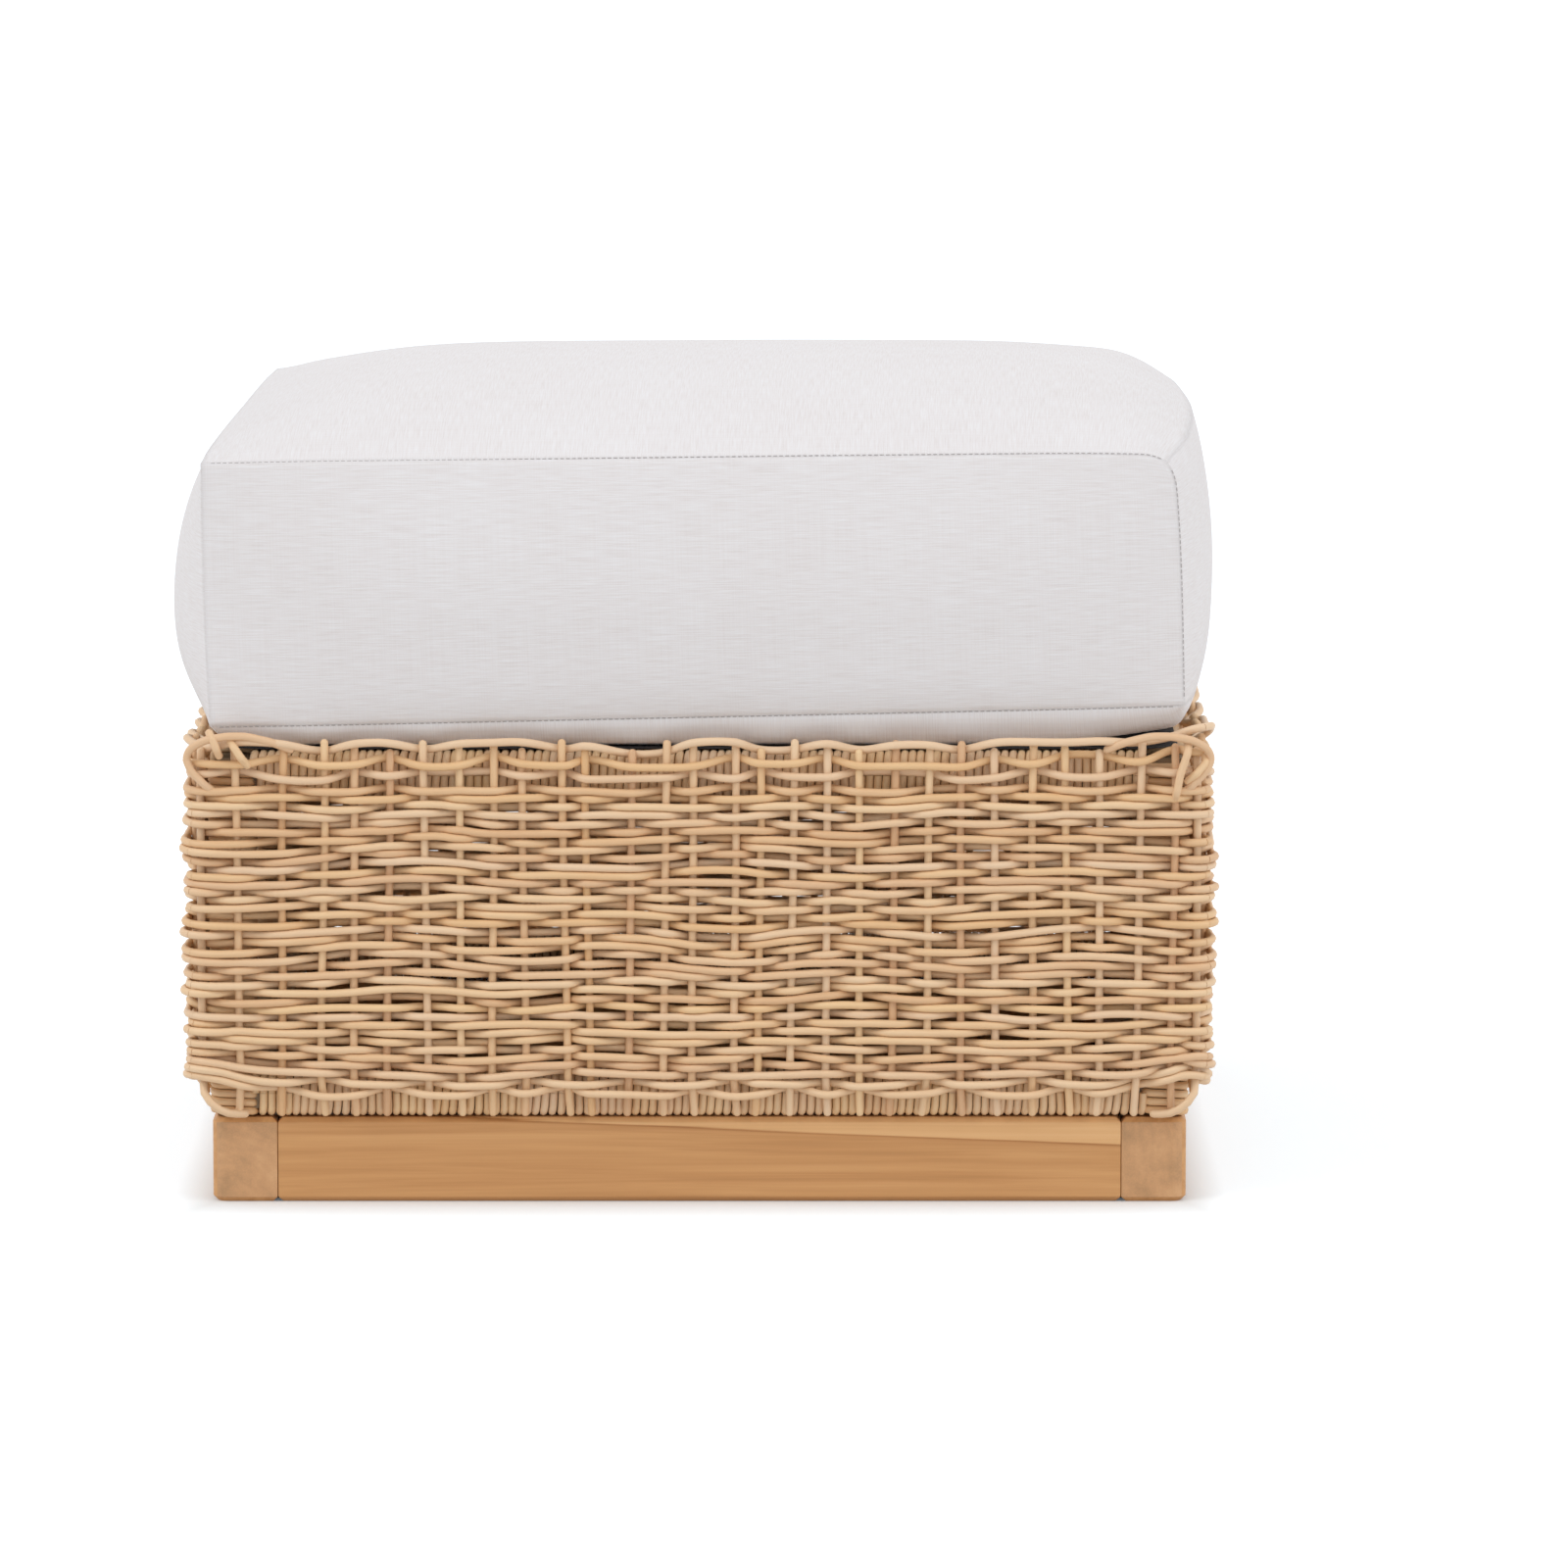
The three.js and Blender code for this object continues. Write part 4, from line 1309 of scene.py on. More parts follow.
    def wind_posts(self) -> None:
        """Winds the four posts with level turns."""
        for name in CORNERS:
            low, high = (np.array(c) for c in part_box("post_wrap_" + name))
            centre = (low + high) / 2
            turns = int((self.wound_top - self.wound_bottom - self.strand) / self.wound_pitch)
            coil = self.winding(turns, self.post_lean)
            # The first and the last turn lie level.
            level = np.clip(coil[:, 0] - self.wound_pitch / 2, 0, (turns - 1) * self.wound_pitch)
            up = np.c_[
                coil[:, 1] + centre[0],
                coil[:, 2] + centre[1],
                level + self.wound_bottom + self.strand / 2,
            ]
            strands = [
                Strand(turn, self.post_tones[number % len(self.post_tones)])
                for number, turn in enumerate(self.cut(up))
            ]
            self.place("wound_post_" + name, strands, "post_wrap_" + name)

    def rim_binding(self, side: Side, hand: float) -> list[Strand]:
        """Ties down the rim at a corner with a loop and two short ends.

        Args:
            side: The front or the back.
            hand: -1 for the corner at its left, seen from outside, or 1.

        Returns:
            The three strands.
        """
        ends = self.left_ends if hand < 0 else self.right_ends
        strands = []
        for way, tone in zip((self.binding_loop, *ends), self.binding_tones):
            run, height, depth = (np.array(part) * MM for part in zip(*way))
            least, more = self.binding_points
            line = self.eased(self.lay(side, hand * run, depth, height), least + more * len(way))
            strands.append(Strand(line, tone, self.strand / 2))
        return strands

    @staticmethod
    def eased(points: np.ndarray, count: int) -> np.ndarray:
        """Draws a smooth line through a few points.

        Args:
            points: The points.
            count: Number of points of the line.

        Returns:
            The smooth line.
        """
        steps = np.linalg.norm(np.diff(points, axis=0), axis=1)
        run = np.concatenate([[0.0], np.cumsum(steps)])
        at = np.linspace(0, run[-1], count)
        line = np.c_[tuple(np.interp(at, run, points[:, axis]) for axis in range(3))]
        passes = 3
        for _ in range(passes):
            line[1:-1] = (line[:-2] + 2 * line[1:-1] + line[2:]) / 4
        return line

    def stand_corners(self) -> None:
        """Stands the corner stakes, whose feet curl under the front and back."""
        for side, hand, name in (
            (Side.FRONT, -1, "front_left"),
            (Side.FRONT, 1, "front_right"),
            (Side.BACK, 1, "back_left"),
            (Side.BACK, -1, "back_right"),
        ):
            run = hand * (self.half_length(side) - np.array(self.corner_curl))
            stake = self.lay(side, run, np.array(self.corner_depths), np.array(self.corner_levels))
            strands = [
                Strand(stake, self.corner_tone, self.strand / 2),
                *self.rim_binding(side, hand),
            ]
            self.place("corner_strand_" + name, strands, "corner_stake_" + name)

    def build(self) -> None:
        """Builds the whole woven body."""
        self.weave()
        for side in Side:
            self.wind_rail(side, "wound_foot", "foot_wrap", *self.foot_rail)
            self.wind_rail(side, "wound_rim", "rim_wrap", *self.rim_rail)
        self.wind_posts()
        self.stand_corners()


# Plinth, frame and deck


@dataclass
class TimberPlinth:
    """The four rails of the plinth, planed and eased."""

    ease: float = 0.8 * MM
    rails: tuple[str, ...] = ("front", "back", "left", "right")
    sawn_slope: float = 0.75  # how far a side rail's face looks ahead or back if it is an end

    def build(self) -> None:
        """Softens a copy of each rail and tells its ends from its faces."""
        for rail in self.rails:
            node = "plinth_" + rail + "_rail"
            bm = softened_copy(node, self.ease, segments=3)
            across = rail in ("left", "right")
            for face in bm.faces:
                sawn = across and abs(face.normal.y) > self.sawn_slope
                face.material_index = 1 if sawn else 0
            mesh = mesh_from("timber_" + rail, bm)
            cut = GrainCut.ALONG_Y if across else GrainCut.ALONG_X
            mesh.materials.append(OiledTimber(cut).material())
            mesh.materials.append(OiledTimber(GrainCut.ACROSS).material())
            piece = place_piece(
                "timber_" + rail, mesh, OiledTimber(cut), Body.STOOL, (node,)
            )
            even = piece.modifiers.new("even_faces", "WEIGHTED_NORMAL")
            even.keep_sharp = True


@dataclass
class TubeFrame:
    """The coated tube frame with its bolts and inserts."""

    corners: tuple[str, ...] = CORNERS

    def dress(self) -> None:
        """Gives every node of the frame its finish."""
        for side in Side:
            dress_node("frame_foot_" + side.label, POWDER_COAT)
            dress_node("frame_rim_" + side.label, POWDER_COAT)
        for hand in ("left", "right"):
            dress_node("deck_bar_" + hand, POWDER_COAT)
        for corner in self.corners:
            dress_node("frame_post_" + corner, POWDER_COAT)
            dress_node("frame_insert_" + corner, MOULDED_NYLON)
            dress_node("frame_bolt_" + corner, BRUSHED_STEEL)


@dataclass
class SlingDeck:
    """The mesh cloth stretched over the rim and the deck bars."""

    thickness: float = 1.2 * MM
    hem: float = 20 * MM
    hem_rise: float = 0.25 * MM
    hem_slope: float = 0.4 * MM  # how wide the step up to the hem is
    drawn_in: float = 6 * MM  # its edge is turned under, so that the wound rim shows past it
    corner: float = 24 * MM

    def build(self) -> None:
        """Cuts the sheet, rounds its corners and turns the hem."""
        low, high = (Vector(c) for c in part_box("deck_mesh"))
        size = high - low - 2 * self.drawn_in * Vector((1, 1, 0))
        bm = bmesh.new()
        bmesh.ops.create_grid(bm, x_segments=1, y_segments=1, size=0.5)
        bmesh.ops.scale(bm, vec=(size.x, size.y, 1), verts=bm.verts)
        bmesh.ops.bevel(
            bm,
            geom=bm.verts[:],
            offset=self.corner,
            offset_type="OFFSET",
            segments=6,
            profile=0.5,
            affect="VERTICES",
            material=-1,
        )
        bmesh.ops.inset_region(bm, faces=bm.faces[:], thickness=self.hem, use_even_offset=True)
        inner = max(bm.faces, key=lambda f: f.calc_area())
        bmesh.ops.inset_region(bm, faces=[inner], thickness=self.hem_slope, depth=-self.hem_rise)
        bmesh.ops.solidify(bm, geom=bm.faces[:], thickness=self.thickness)
        bmesh.ops.recalc_face_normals(bm, faces=bm.faces)
        top = max(v.co.z for v in bm.verts)
        bmesh.ops.translate(bm, vec=(0, 0, high.z - top), verts=bm.verts)
        piece = place_piece(
            "sling_deck",
            mesh_from("sling_deck", bm, smooth=False),
            SlingMesh(),
            Body.STOOL,
            ("deck_mesh",),
        )


# The cushion


class Panel(Enum):
    """The six panels of the cushion's cover."""

    TOP = 0
    BOTTOM = 1
    FRONT = 2
    RIGHT = 3
    BACK = 4
    LEFT = 5


@dataclass
class BoxCushion:
    """The loose box cushion: swollen panels sewn edge to edge."""

    half_width: float = 295 * MM
    half_depth: float = 268 * MM
    seam_low: float = 297.1 * MM
    seam_high: float = 458.1 * MM
    cells: tuple[int, int, int] = (74, 68, 20)
    map_shifts: tuple[float, float] = (1.0, 3.0)  # of the front and back, and of the sides

    # Swell, with the powers of the distance from the middle that it falls off by
    crown: float = 39.5 * MM
    crown_powers: tuple[float, float] = (10.0, 6.0)  # right and left: fuller on the right
    swell_left: float = 27 * MM
    swell_right: float = 13 * MM
    swell_front: float = 13 * MM
    swell_back: float = 28 * MM
    height_powers: tuple[float, float] = (2.1, 3.6)  # above and below the middle
    depth_power: int = 3
    width_power: int = 5
    zip_power: int = 8
    zip_swells: tuple[tuple[float, float], ...] = (
        (0, 0), (0.08, 0.5), (0.22, 0.93), (0.34, 0.72), (0.42, 0.32),
        (0.58, 0.32), (0.66, 0.72), (0.78, 0.93), (0.92, 0.5), (1, 0),
    )  # share of the back's height, and of its swell there

    # Underside
    under_rest: float = 15 * MM
    under_round: float = 12 * MM  # from the seam to where the underside lies flat
    under_power: float = 1.25
    right_tightness: float = 2.2  # how much shorter the rounding is on the right
    lower_push: float = 5 * MM  # how far the underside's right edge stands out at the front
    push_reach: float = 30 * MM

    # Plan
    front_reach: float = 15 * MM  # how far the front seams sit forward of the back ones
    # How far the left and the right side's lower and upper seams bow out
    side_bows: tuple[tuple[float, float], ...] = ((16 * MM, 1 * MM), (11 * MM, 13 * MM))
    bow_power: int = 3
    bow_fullness: tuple[int, int] = (2, 3)  # a power, and what it gains at the lower right

    # Filling as cloth under pressure
    underfill: float = 0.8
    seam_hold: float = 0.9
    zip_band: float = 20 * MM
    pressure: float = 4.0
    frames: int = 20
    furthest: float = 12 * MM  # how far the cloth may swell past its blank
    rest_blend: tuple[float, float] = (-0.4, 0.5)  # share of the height it starts at, and run

    # Corners
    corner_round: float = 22 * MM
    corner_reach: float = 42 * MM
    corner_sink: float = 0.75  # share of a corner's pull that goes into its height
    soft_corners: tuple[tuple[int, int, int, float], ...] = (
        (-1, -1, 1, 1 * MM), (1, -1, 1, 2 * MM), (-1, 1, 1, 1 * MM), (1, 1, 1, 9 * MM),
        (-1, -1, -1, 0.5 * MM), (1, -1, -1, 0.5 * MM), (-1, 1, -1, 6 * MM), (1, 1, -1, 6 * MM),
    )  # right or left, back or front, up or down, and how far the corner pulls in

    # How it lies: a shift or rise at the front's lower left, and what its top and right add
    share_limits: tuple[float, float] = (-0.1, 1.2)  # of the height between the seams
    back_shift: float = 8.0 * MM  # to the right
    askew: tuple[float, float, float] = (12.0 * MM, 5.0 * MM, -6.0 * MM)
    tilt: tuple[float, float, float] = (-2.0 * MM, 2.5 * MM, 13.0 * MM)
    tilt_twist: float = 7.0 * MM  # how much less the top right rises
    tilt_from: float = 200 * MM
    tilt_run: float = 300 * MM
    rest_level: float = 282.2 * MM
    rest_round: float = 12 * MM
    free_share: float = 0.86  # of the width, past which the underside rises too
    back_rise: float = 3 * MM  # how much higher the upper edge stands at the back
    corner_fill: tuple[float, float] = (4 * MM, 8 * MM)  # more of it near the left and the right
    fill_place: float = 268 * MM  # from the middle
    fill_reach: float = 30 * MM
    fill_ahead: float = 2.5  # how fast it falls off towards the front

    # Zip's channel, seams and stitches
    zip_half_length: float = 190.4 * MM
    zip_half_slot: float = 5.6 * MM
    zip_floor: float = 273.7 * MM
    zip_lip: float = 0.7 * MM
    seam_width: float = 0.9 * MM
    seam_depth: float = 0.8 * MM
    thread_sinks: float = 60 * MM  # where the upper thread starts to sink, towards the left
    sinking_run: float = 230 * MM
    sunk_depth: float = 0.8 * MM
    thread: float = 0.55 * MM
    thread_bed: float = 0.15 * MM  # how deep a seam's thread lies in it
    stitch_pitch: float = 3.6 * MM
    stitch_length: float = 2.3 * MM
    stitch_margin: float = 6 * MM
    zip_stitches: float = 9 * MM  # from the zip's middle
    zip_overrun: float = 4 * MM
    zip_lift: float = 0.05 * MM
    seam_lines: list[tuple[np.ndarray, np.ndarray]] = field(default_factory=list)

    @property
    def middle(self) -> float:
        """Returns the height of the zip."""
        return (self.seam_low + self.seam_high) / 2

    def blank(self) -> bpy.types.Mesh:
        """Cuts the six panels as an evenly meshed box with flat-cloth maps."""
        half_height = (self.seam_high - self.seam_low) / 2
        size = (self.half_width, self.half_depth, half_height)
        bm = bmesh.new()
        bmesh.ops.create_cube(bm, size=2.0)
        bmesh.ops.scale(bm, vec=size, verts=bm.verts)
        for axis, cuts in enumerate(self.cells):
            uncut = [
                e for e in bm.edges if abs((e.verts[0].co - e.verts[1].co)[axis]) > size[axis]
            ]
            bmesh.ops.subdivide_edges(bm, edges=uncut, cuts=cuts - 1, use_grid_fill=True)
        bmesh.ops.translate(bm, vec=(0, 0, self.middle), verts=bm.verts)
        panel = bm.faces.layers.int.new("panel")
        cloth = bm.loops.layers.uv.new("cloth")
        crease = bm.edges.layers.float.new("crease_edge")
        ahead, beside = self.map_shifts
        for face in bm.faces:
            kind = self.panel_of(face.normal)
            face[panel] = kind.value
            for loop in face.loops:
                x, y, z = loop.vert.co
                if kind in (Panel.TOP, Panel.BOTTOM):
                    loop[cloth].uv = (y, x)
                elif kind in (Panel.FRONT, Panel.BACK):
                    loop[cloth].uv = (x + ahead, z)
                else:
                    loop[cloth].uv = (y + beside, z)
        for edge in bm.edges:
            kinds = {f[panel] for f in edge.link_faces}
            edge[crease] = 1.0 if len(kinds) > 1 else 0.0
        return mesh_from("cover_blank", bm)

    @staticmethod
    def panel_of(normal: Vector) -> Panel:
        """Tells which panel a face of the blank belongs to."""
        if abs(normal.z) > 0.5:
            return Panel.TOP if normal.z > 0 else Panel.BOTTOM
        if abs(normal.y) > 0.5:
            return Panel.BACK if normal.y > 0 else Panel.FRONT
        return Panel.RIGHT if normal.x > 0 else Panel.LEFT

    def zipped_swell(self, share: np.ndarray) -> np.ndarray:
        """Returns the back boxing's swell at each share of its height."""
        places, swells = zip(*self.zip_swells)
        return np.interp(share, places, swells)

    def swollen(self, box: np.ndarray, fullness: float) -> np.ndarray:
        """Swells the panels of the box.

        Args:
            box: Vertices of the blank.
            fullness: Share of the full swell.

        Returns:
            The swollen vertices.
        """
        u = box[:, 0] / self.half_width
        v = box[:, 1] / self.half_depth
        w = (box[:, 2] - self.middle) / (self.seam_high - self.middle)
        right, below = u > 0, w < -AT_EDGE
        out = box.copy()
        across_v = 1 - np.abs(v) ** self.depth_power
        across_u = 1 - np.abs(u) ** self.width_power
        crowned = 1 - np.abs(u) ** np.where(right, *self.crown_powers)
        high = 1 - np.abs(w) ** np.where(w > 0, *self.height_powers)
        out[:, 2] += (w > AT_EDGE) * self.crown * crowned * across_v * fullness
        beside = self.half_width - np.abs(box[:, 0])
        beside *= np.where(right, self.right_tightness, 1.0)
        inset = np.minimum(beside, self.half_depth - np.abs(box[:, 1]))
        share = np.clip(inset / self.under_round, 0, 1)
        out[:, 2] -= below * self.under_rest * (1 - (1 - share) ** self.under_power) * fullness
        ring = share * np.exp(-beside / self.push_reach) * np.clip(-2 * v, 0, 1)
        out[:, 0] += below * right * self.lower_push * ring
        out[:, 0] += (u > AT_EDGE) * self.swell_right * high * across_v * fullness
        out[:, 0] -= (u < -AT_EDGE) * self.swell_left * high * across_v * fullness
        out[:, 1] -= (v < -AT_EDGE) * self.swell_front * high * across_u * fullness
        zipped = self.zipped_swell((w + 1) / 2) * (1 - np.abs(u) ** self.zip_power)
        out[:, 1] += (v > AT_EDGE) * self.swell_back * zipped
        out[:, 1] += np.minimum(v, 0) * self.front_reach
        least, more = self.bow_fullness
        fuller = 1 - np.abs(v) ** (least + more * right * np.clip(-w, 0, 1))
        out[:, 0] += np.sign(u) * np.abs(u) ** self.bow_power * self.bow(u, w) * fuller
        return out

    def bow(self, u: np.ndarray, w: np.ndarray) -> np.ndarray:
        """Returns how far the sides bow out, by side and share of their height."""
        (left_low, left_high), (right_low, right_high) = self.side_bows
        share = np.clip((w + 1) / 2, 0, 1)
        left = left_low + (left_high - left_low) * share
        right = right_low + (right_high - right_low) * share
        return np.where(u > 0, right, left)

    def inflate(self, mesh: bpy.types.Mesh, held: np.ndarray) -> np.ndarray:
        """Blows the cover up as cloth, with its seams and zip held.

        Args:
            mesh: The blank, slightly underfilled.
            held: Share by which each vertex is held.

        Returns:
            Where the vertices come to rest.
        """
        trial = bpy.data.objects.new("cover_trial", mesh.copy())
        bpy.context.scene.collection.objects.link(trial)
        group = trial.vertex_groups.new(name="held")
        for share in np.unique(held[held > 0]):
            group.add([int(i) for i in np.flatnonzero(held == share)], float(share), "REPLACE")
        cloth = trial.modifiers.new("swell", "CLOTH")
        settings = cloth.settings
        settings.quality = 5
        settings.mass = 0.4
        settings.tension_stiffness = 18
        settings.compression_stiffness = 18
        settings.shear_stiffness = 6
        settings.bending_stiffness = 1.2
        settings.use_pressure = True
        settings.uniform_pressure_force = self.pressure
        settings.vertex_group_mass = "held"
        settings.effector_weights.gravity = 0.0
        cloth.collision_settings.use_collision = False
        cloth.collision_settings.use_self_collision = False
        scene = bpy.context.scene
        for number in range(self.frames):
            scene.frame_set(number + 1)
        graph = bpy.context.evaluated_depsgraph_get()
        settled = trial.evaluated_get(graph).to_mesh()
        places = np.empty(len(settled.vertices) * 3)
        settled.vertices.foreach_get("co", places)
        trial_mesh = trial.data
        bpy.data.objects.remove(trial)
        bpy.data.meshes.remove(trial_mesh)
        scene.frame_set(1)
        return places.reshape(-1, 3)

    def fit(self, box: np.ndarray, soft: np.ndarray) -> np.ndarray:
        """Brings each panel of the settled cover to its measured fullness.

        Args:
            box: Vertices of the flat blank.
            soft: Vertices of the settled cover.

        Returns:
            The fitted vertices.
        """
        fitted = soft.copy()
        w = (box[:, 2] - self.middle) / (self.seam_high - self.middle)
        aim = self.swollen(box, 1.0)
        front = self.half_depth + self.front_reach
        panels = (
            (w > AT_EDGE, 2, self.seam_high),
            (box[:, 0] > AT_EDGE * self.half_width, 0, self.half_width),
            (box[:, 0] < -AT_EDGE * self.half_width, 0, -self.half_width),
            (box[:, 1] < -AT_EDGE * self.half_depth, 1, -front),
        )
        for chosen, axis, level in panels:
            rise = fitted[chosen, axis] - level
            reach = np.abs(aim[chosen, axis] - level).max()
            fitted[chosen, axis] = level + rise * reach / np.abs(rise).max()
        # The underside rests on the deck, whatever the filling does.
        start, run = self.rest_blend
        near = np.clip((start - w) / run, 0, 1)[:, None]
        return fitted * (1 - near) + aim * near

    def settle(self, places: np.ndarray) -> np.ndarray:
        """Softens the corners and lets the cushion sit a little askew.

        Its front lies to the left of its back and is higher on the right. Its
        back stays level up to the zip, and only its upper edge rises.

        Args:
            places: Vertices of the cover.

        Returns:
            The settled vertices.
        """
        x, y, z = places.T
        moved = places.copy()
        for hand, end, high, pull in self.soft_corners:
            corner = np.array([
                hand * self.half_width,
                end * self.half_depth + min(end, 0) * self.front_reach,
                self.seam_high if high > 0 else self.seam_low,
            ])
            near = hump(np.linalg.norm(places - corner, axis=1), self.corner_reach)
            moved -= near[:, None] * np.array([hand, end, self.corner_sink * high]) * pull
        moved = self.round_corner(moved)
        share = (z - self.seam_low) / (self.seam_high - self.seam_low)
        share = np.clip(share, *self.share_limits)
        right = (x / self.half_width + 1) / 2
        ahead = (self.half_depth - y) / (2 * self.half_depth + self.front_reach)
        low_left, top, beside = self.askew
        moved[:, 0] += self.back_shift - ahead * (low_left + top * share + beside * right)
        upper = np.clip(share * 2 - 1, 0, 1)
        filled = hump(np.abs(x) - self.fill_place, self.fill_reach)
        filled *= np.clip(1 - self.fill_ahead * ahead, 0, 1) * np.where(x < 0, *self.corner_fill)
        moved[:, 2] += (self.back_rise * np.clip(1 - ahead, 0, 1) + filled) * upper
        forward = np.clip((self.tilt_from - y) / self.tilt_run, 0, 1)
        forward = forward * forward * (3 - 2 * forward)
        low_left, top, beside = self.tilt
        lift = low_left + top * share + right * (beside - self.tilt_twist * share)
        raised = np.clip((z - self.rest_level) / self.rest_round, 0, 1)
        free = np.clip((right - self.free_share) / (1 - self.free_share), 0, 1)
        moved[:, 2] += forward * lift * np.maximum(raised, free)
        return moved

    def round_corner(self, places: np.ndarray) -> np.ndarray:
        """Rounds the upper right corner of the front panel, where the seams meet.

        Args:
            places: Vertices of the cover.

        Returns:
            The vertices with that corner drawn in.
        """
        reach = self.corner_round
        in_x = np.clip(1 - (self.half_width - places[:, 0]) / reach, 0, 1)
        in_z = np.clip(1 - (self.seam_high - places[:, 2]) / reach, 0, 1)
        near = np.clip(1 - (places[:, 1] + self.half_depth) / (3 * reach), 0, 1)
        out = places.copy()
        out[:, 0] += near * reach * in_x * (np.sqrt(1 - in_z**2 / 2) - 1)
        out[:, 2] += near * reach * in_z * (np.sqrt(1 - in_x**2 / 2) - 1)
        return out

    def build(self) -> None:
        """Makes the cover, its seams and its stitching."""
        blank = self.blank()
        flat = np.empty(len(blank.vertices) * 3)
        blank.vertices.foreach_get("co", flat)
        flat = flat.reshape(-1, 3)
        lean_shape = self.swollen(flat, self.underfill)
        held = np.zeros(len(flat))
        bm = bmesh.new()
        bm.from_mesh(blank)
        panel = bm.faces.layers.int["panel"]
        for vert in bm.verts:
            if len({f[panel] for f in vert.link_faces}) > 1:
                held[vert.index] = self.seam_hold
        bm.free()
        at_back = flat[:, 1] > AT_EDGE * self.half_depth
        held[at_back & (np.abs(flat[:, 2] - self.middle) < self.zip_band)] = 1.0
        blank.vertices.foreach_set("co", lean_shape.ravel())
        moved = self.inflate(blank, held) - lean_shape
        far = np.linalg.norm(moved, axis=1, keepdims=True)
        moved *= np.minimum(1.0, self.furthest / np.maximum(far, 1e-9))
        soft = self.fit(flat, lean_shape + moved)
        blank.vertices.foreach_set("co", self.settle(soft).ravel())
        blank.update()
        cover = self.sewn(self.subdivided(blank))
        stitches = self.stitches(cover)
        piece = place_piece(
            "cushion_canvas",
            mesh_from("cushion_canvas", cover),
            CanvasCloth(),
            Body.CUSHION,
            ("cushion_cover", "cushion_foam"),
        )
        place_piece(
            "cushion_stitching",
            strand_mesh("cushion_stitching", stitches, self.thread / 2, 4),
            SEWING_THREAD,
            Body.CUSHION,
        )

    @staticmethod
    def subdivided(mesh: bpy.types.Mesh) -> bmesh.types.BMesh:
        """Rounds the cover once, with its seams kept crisp.

        Args:
            mesh: The cover.

        Returns:
            The finer cover.
        """
        holder = bpy.data.objects.new("cover_fine", mesh)
        bpy.context.scene.collection.objects.link(holder)
        finer = holder.modifiers.new("finer", "SUBSURF")
        finer.levels = finer.render_levels = 1
        graph = bpy.context.evaluated_depsgraph_get()
        bm = bmesh.new()
        bm.from_mesh(holder.evaluated_get(graph).to_mesh())
        bpy.data.objects.remove(holder)
        return bm

    def seam_edges(self, bm: bmesh.types.BMesh) -> list[bmesh.types.BMEdge]:
        """Returns the edges where two panels meet."""
        panel = bm.faces.layers.int["panel"]
        return [e for e in bm.edges if len({f[panel] for f in e.link_faces}) > 1]

    def sewn(self, bm: bmesh.types.BMesh) -> bmesh.types.BMesh:
        """Draws the seams in as fine grooves and sinks the zip's channel.

        Args:
            bm: The cover.

        Returns:
            The same cover.
        """
        panel = bm.faces.layers.int["panel"]
        self.seam_lines = self.trace_seams(bm)
        made = bmesh.ops.bevel(
            bm,
            geom=self.seam_edges(bm),
            offset=self.seam_width,
            offset_type="OFFSET",
            segments=2,
            profile=0.5,
            affect="EDGES",
            clamp_overlap=True,
            material=-1,
        )
        fresh = set(made["faces"])
        bm.normal_update()
        inner = [v for v in made["verts"] if v.is_valid and all(f in fresh for f in v.link_faces)]
        for vert in inner:
            vert.co -= vert.normal * self.seam_depth
        up, across = Vector((0, 0, 1)), Vector((1, 0, 0))
        slot = self.zip_half_slot
        cuts = [
            (up, self.middle + hand * half) for half in (slot, slot + self.zip_lip) for hand in (-1, 1)
        ]
        cuts += [(across, hand * self.zip_half_length) for hand in (-1, 1)]
        for normal, level in cuts:
            back = [f for f in bm.faces if f[panel] == Panel.BACK.value]
            edges = dict.fromkeys(e for f in back for e in f.edges)
            verts = dict.fromkeys(v for f in back for v in f.verts)
            bmesh.ops.bisect_plane(
                bm,
                geom=[*back, *edges, *verts],
                dist=0.01 * MM,
                plane_co=normal * level,
                plane_no=normal,
            )
        sure = 0.02 * MM
        for vert in bm.verts:
            level = abs(vert.co.z - self.middle) < self.zip_half_slot + sure
            between = abs(vert.co.x) < self.zip_half_length + sure
            if vert.co.y > 0 and level and between:
                vert.co.y = self.zip_floor
        return bm

    def trace_seams(self, bm: bmesh.types.BMesh) -> list[tuple[np.ndarray, np.ndarray]]:
        """Follows the stitched seams of the front panel from corner to corner.

        Args:
            bm: The cover before its seams are drawn in.

        Returns:
            Points and outward directions of each seam.
        """
        panel = bm.faces.layers.int["panel"]
        by_pair: dict[tuple[int, ...], set[bmesh.types.BMVert]] = {}
        for edge in self.seam_edges(bm):
            pair = tuple(sorted({f[panel] for f in edge.link_faces}))
            by_pair.setdefault(pair, set()).update(edge.verts)
        lines = []
        for pair, verts in by_pair.items():
            # The left seam of the front shows no thread, and neither do the other panels' seams.
            if Panel.FRONT.value not in pair or Panel.LEFT.value in pair:
                continue
            places = np.array([v.co[:] for v in verts])
            outward = np.array([v.normal[:] for v in verts])
            if Panel.TOP.value in pair:
                sunk = np.clip((self.thread_sinks - places[:, 0]) / self.sinking_run, 0, 1)
                places -= outward * (sunk * self.sunk_depth)[:, None]
            axis = int(np.argmax(np.ptp(places, axis=0)))
            order = np.argsort(places[:, axis])
            lines.append((places[order], outward[order]))
        return lines

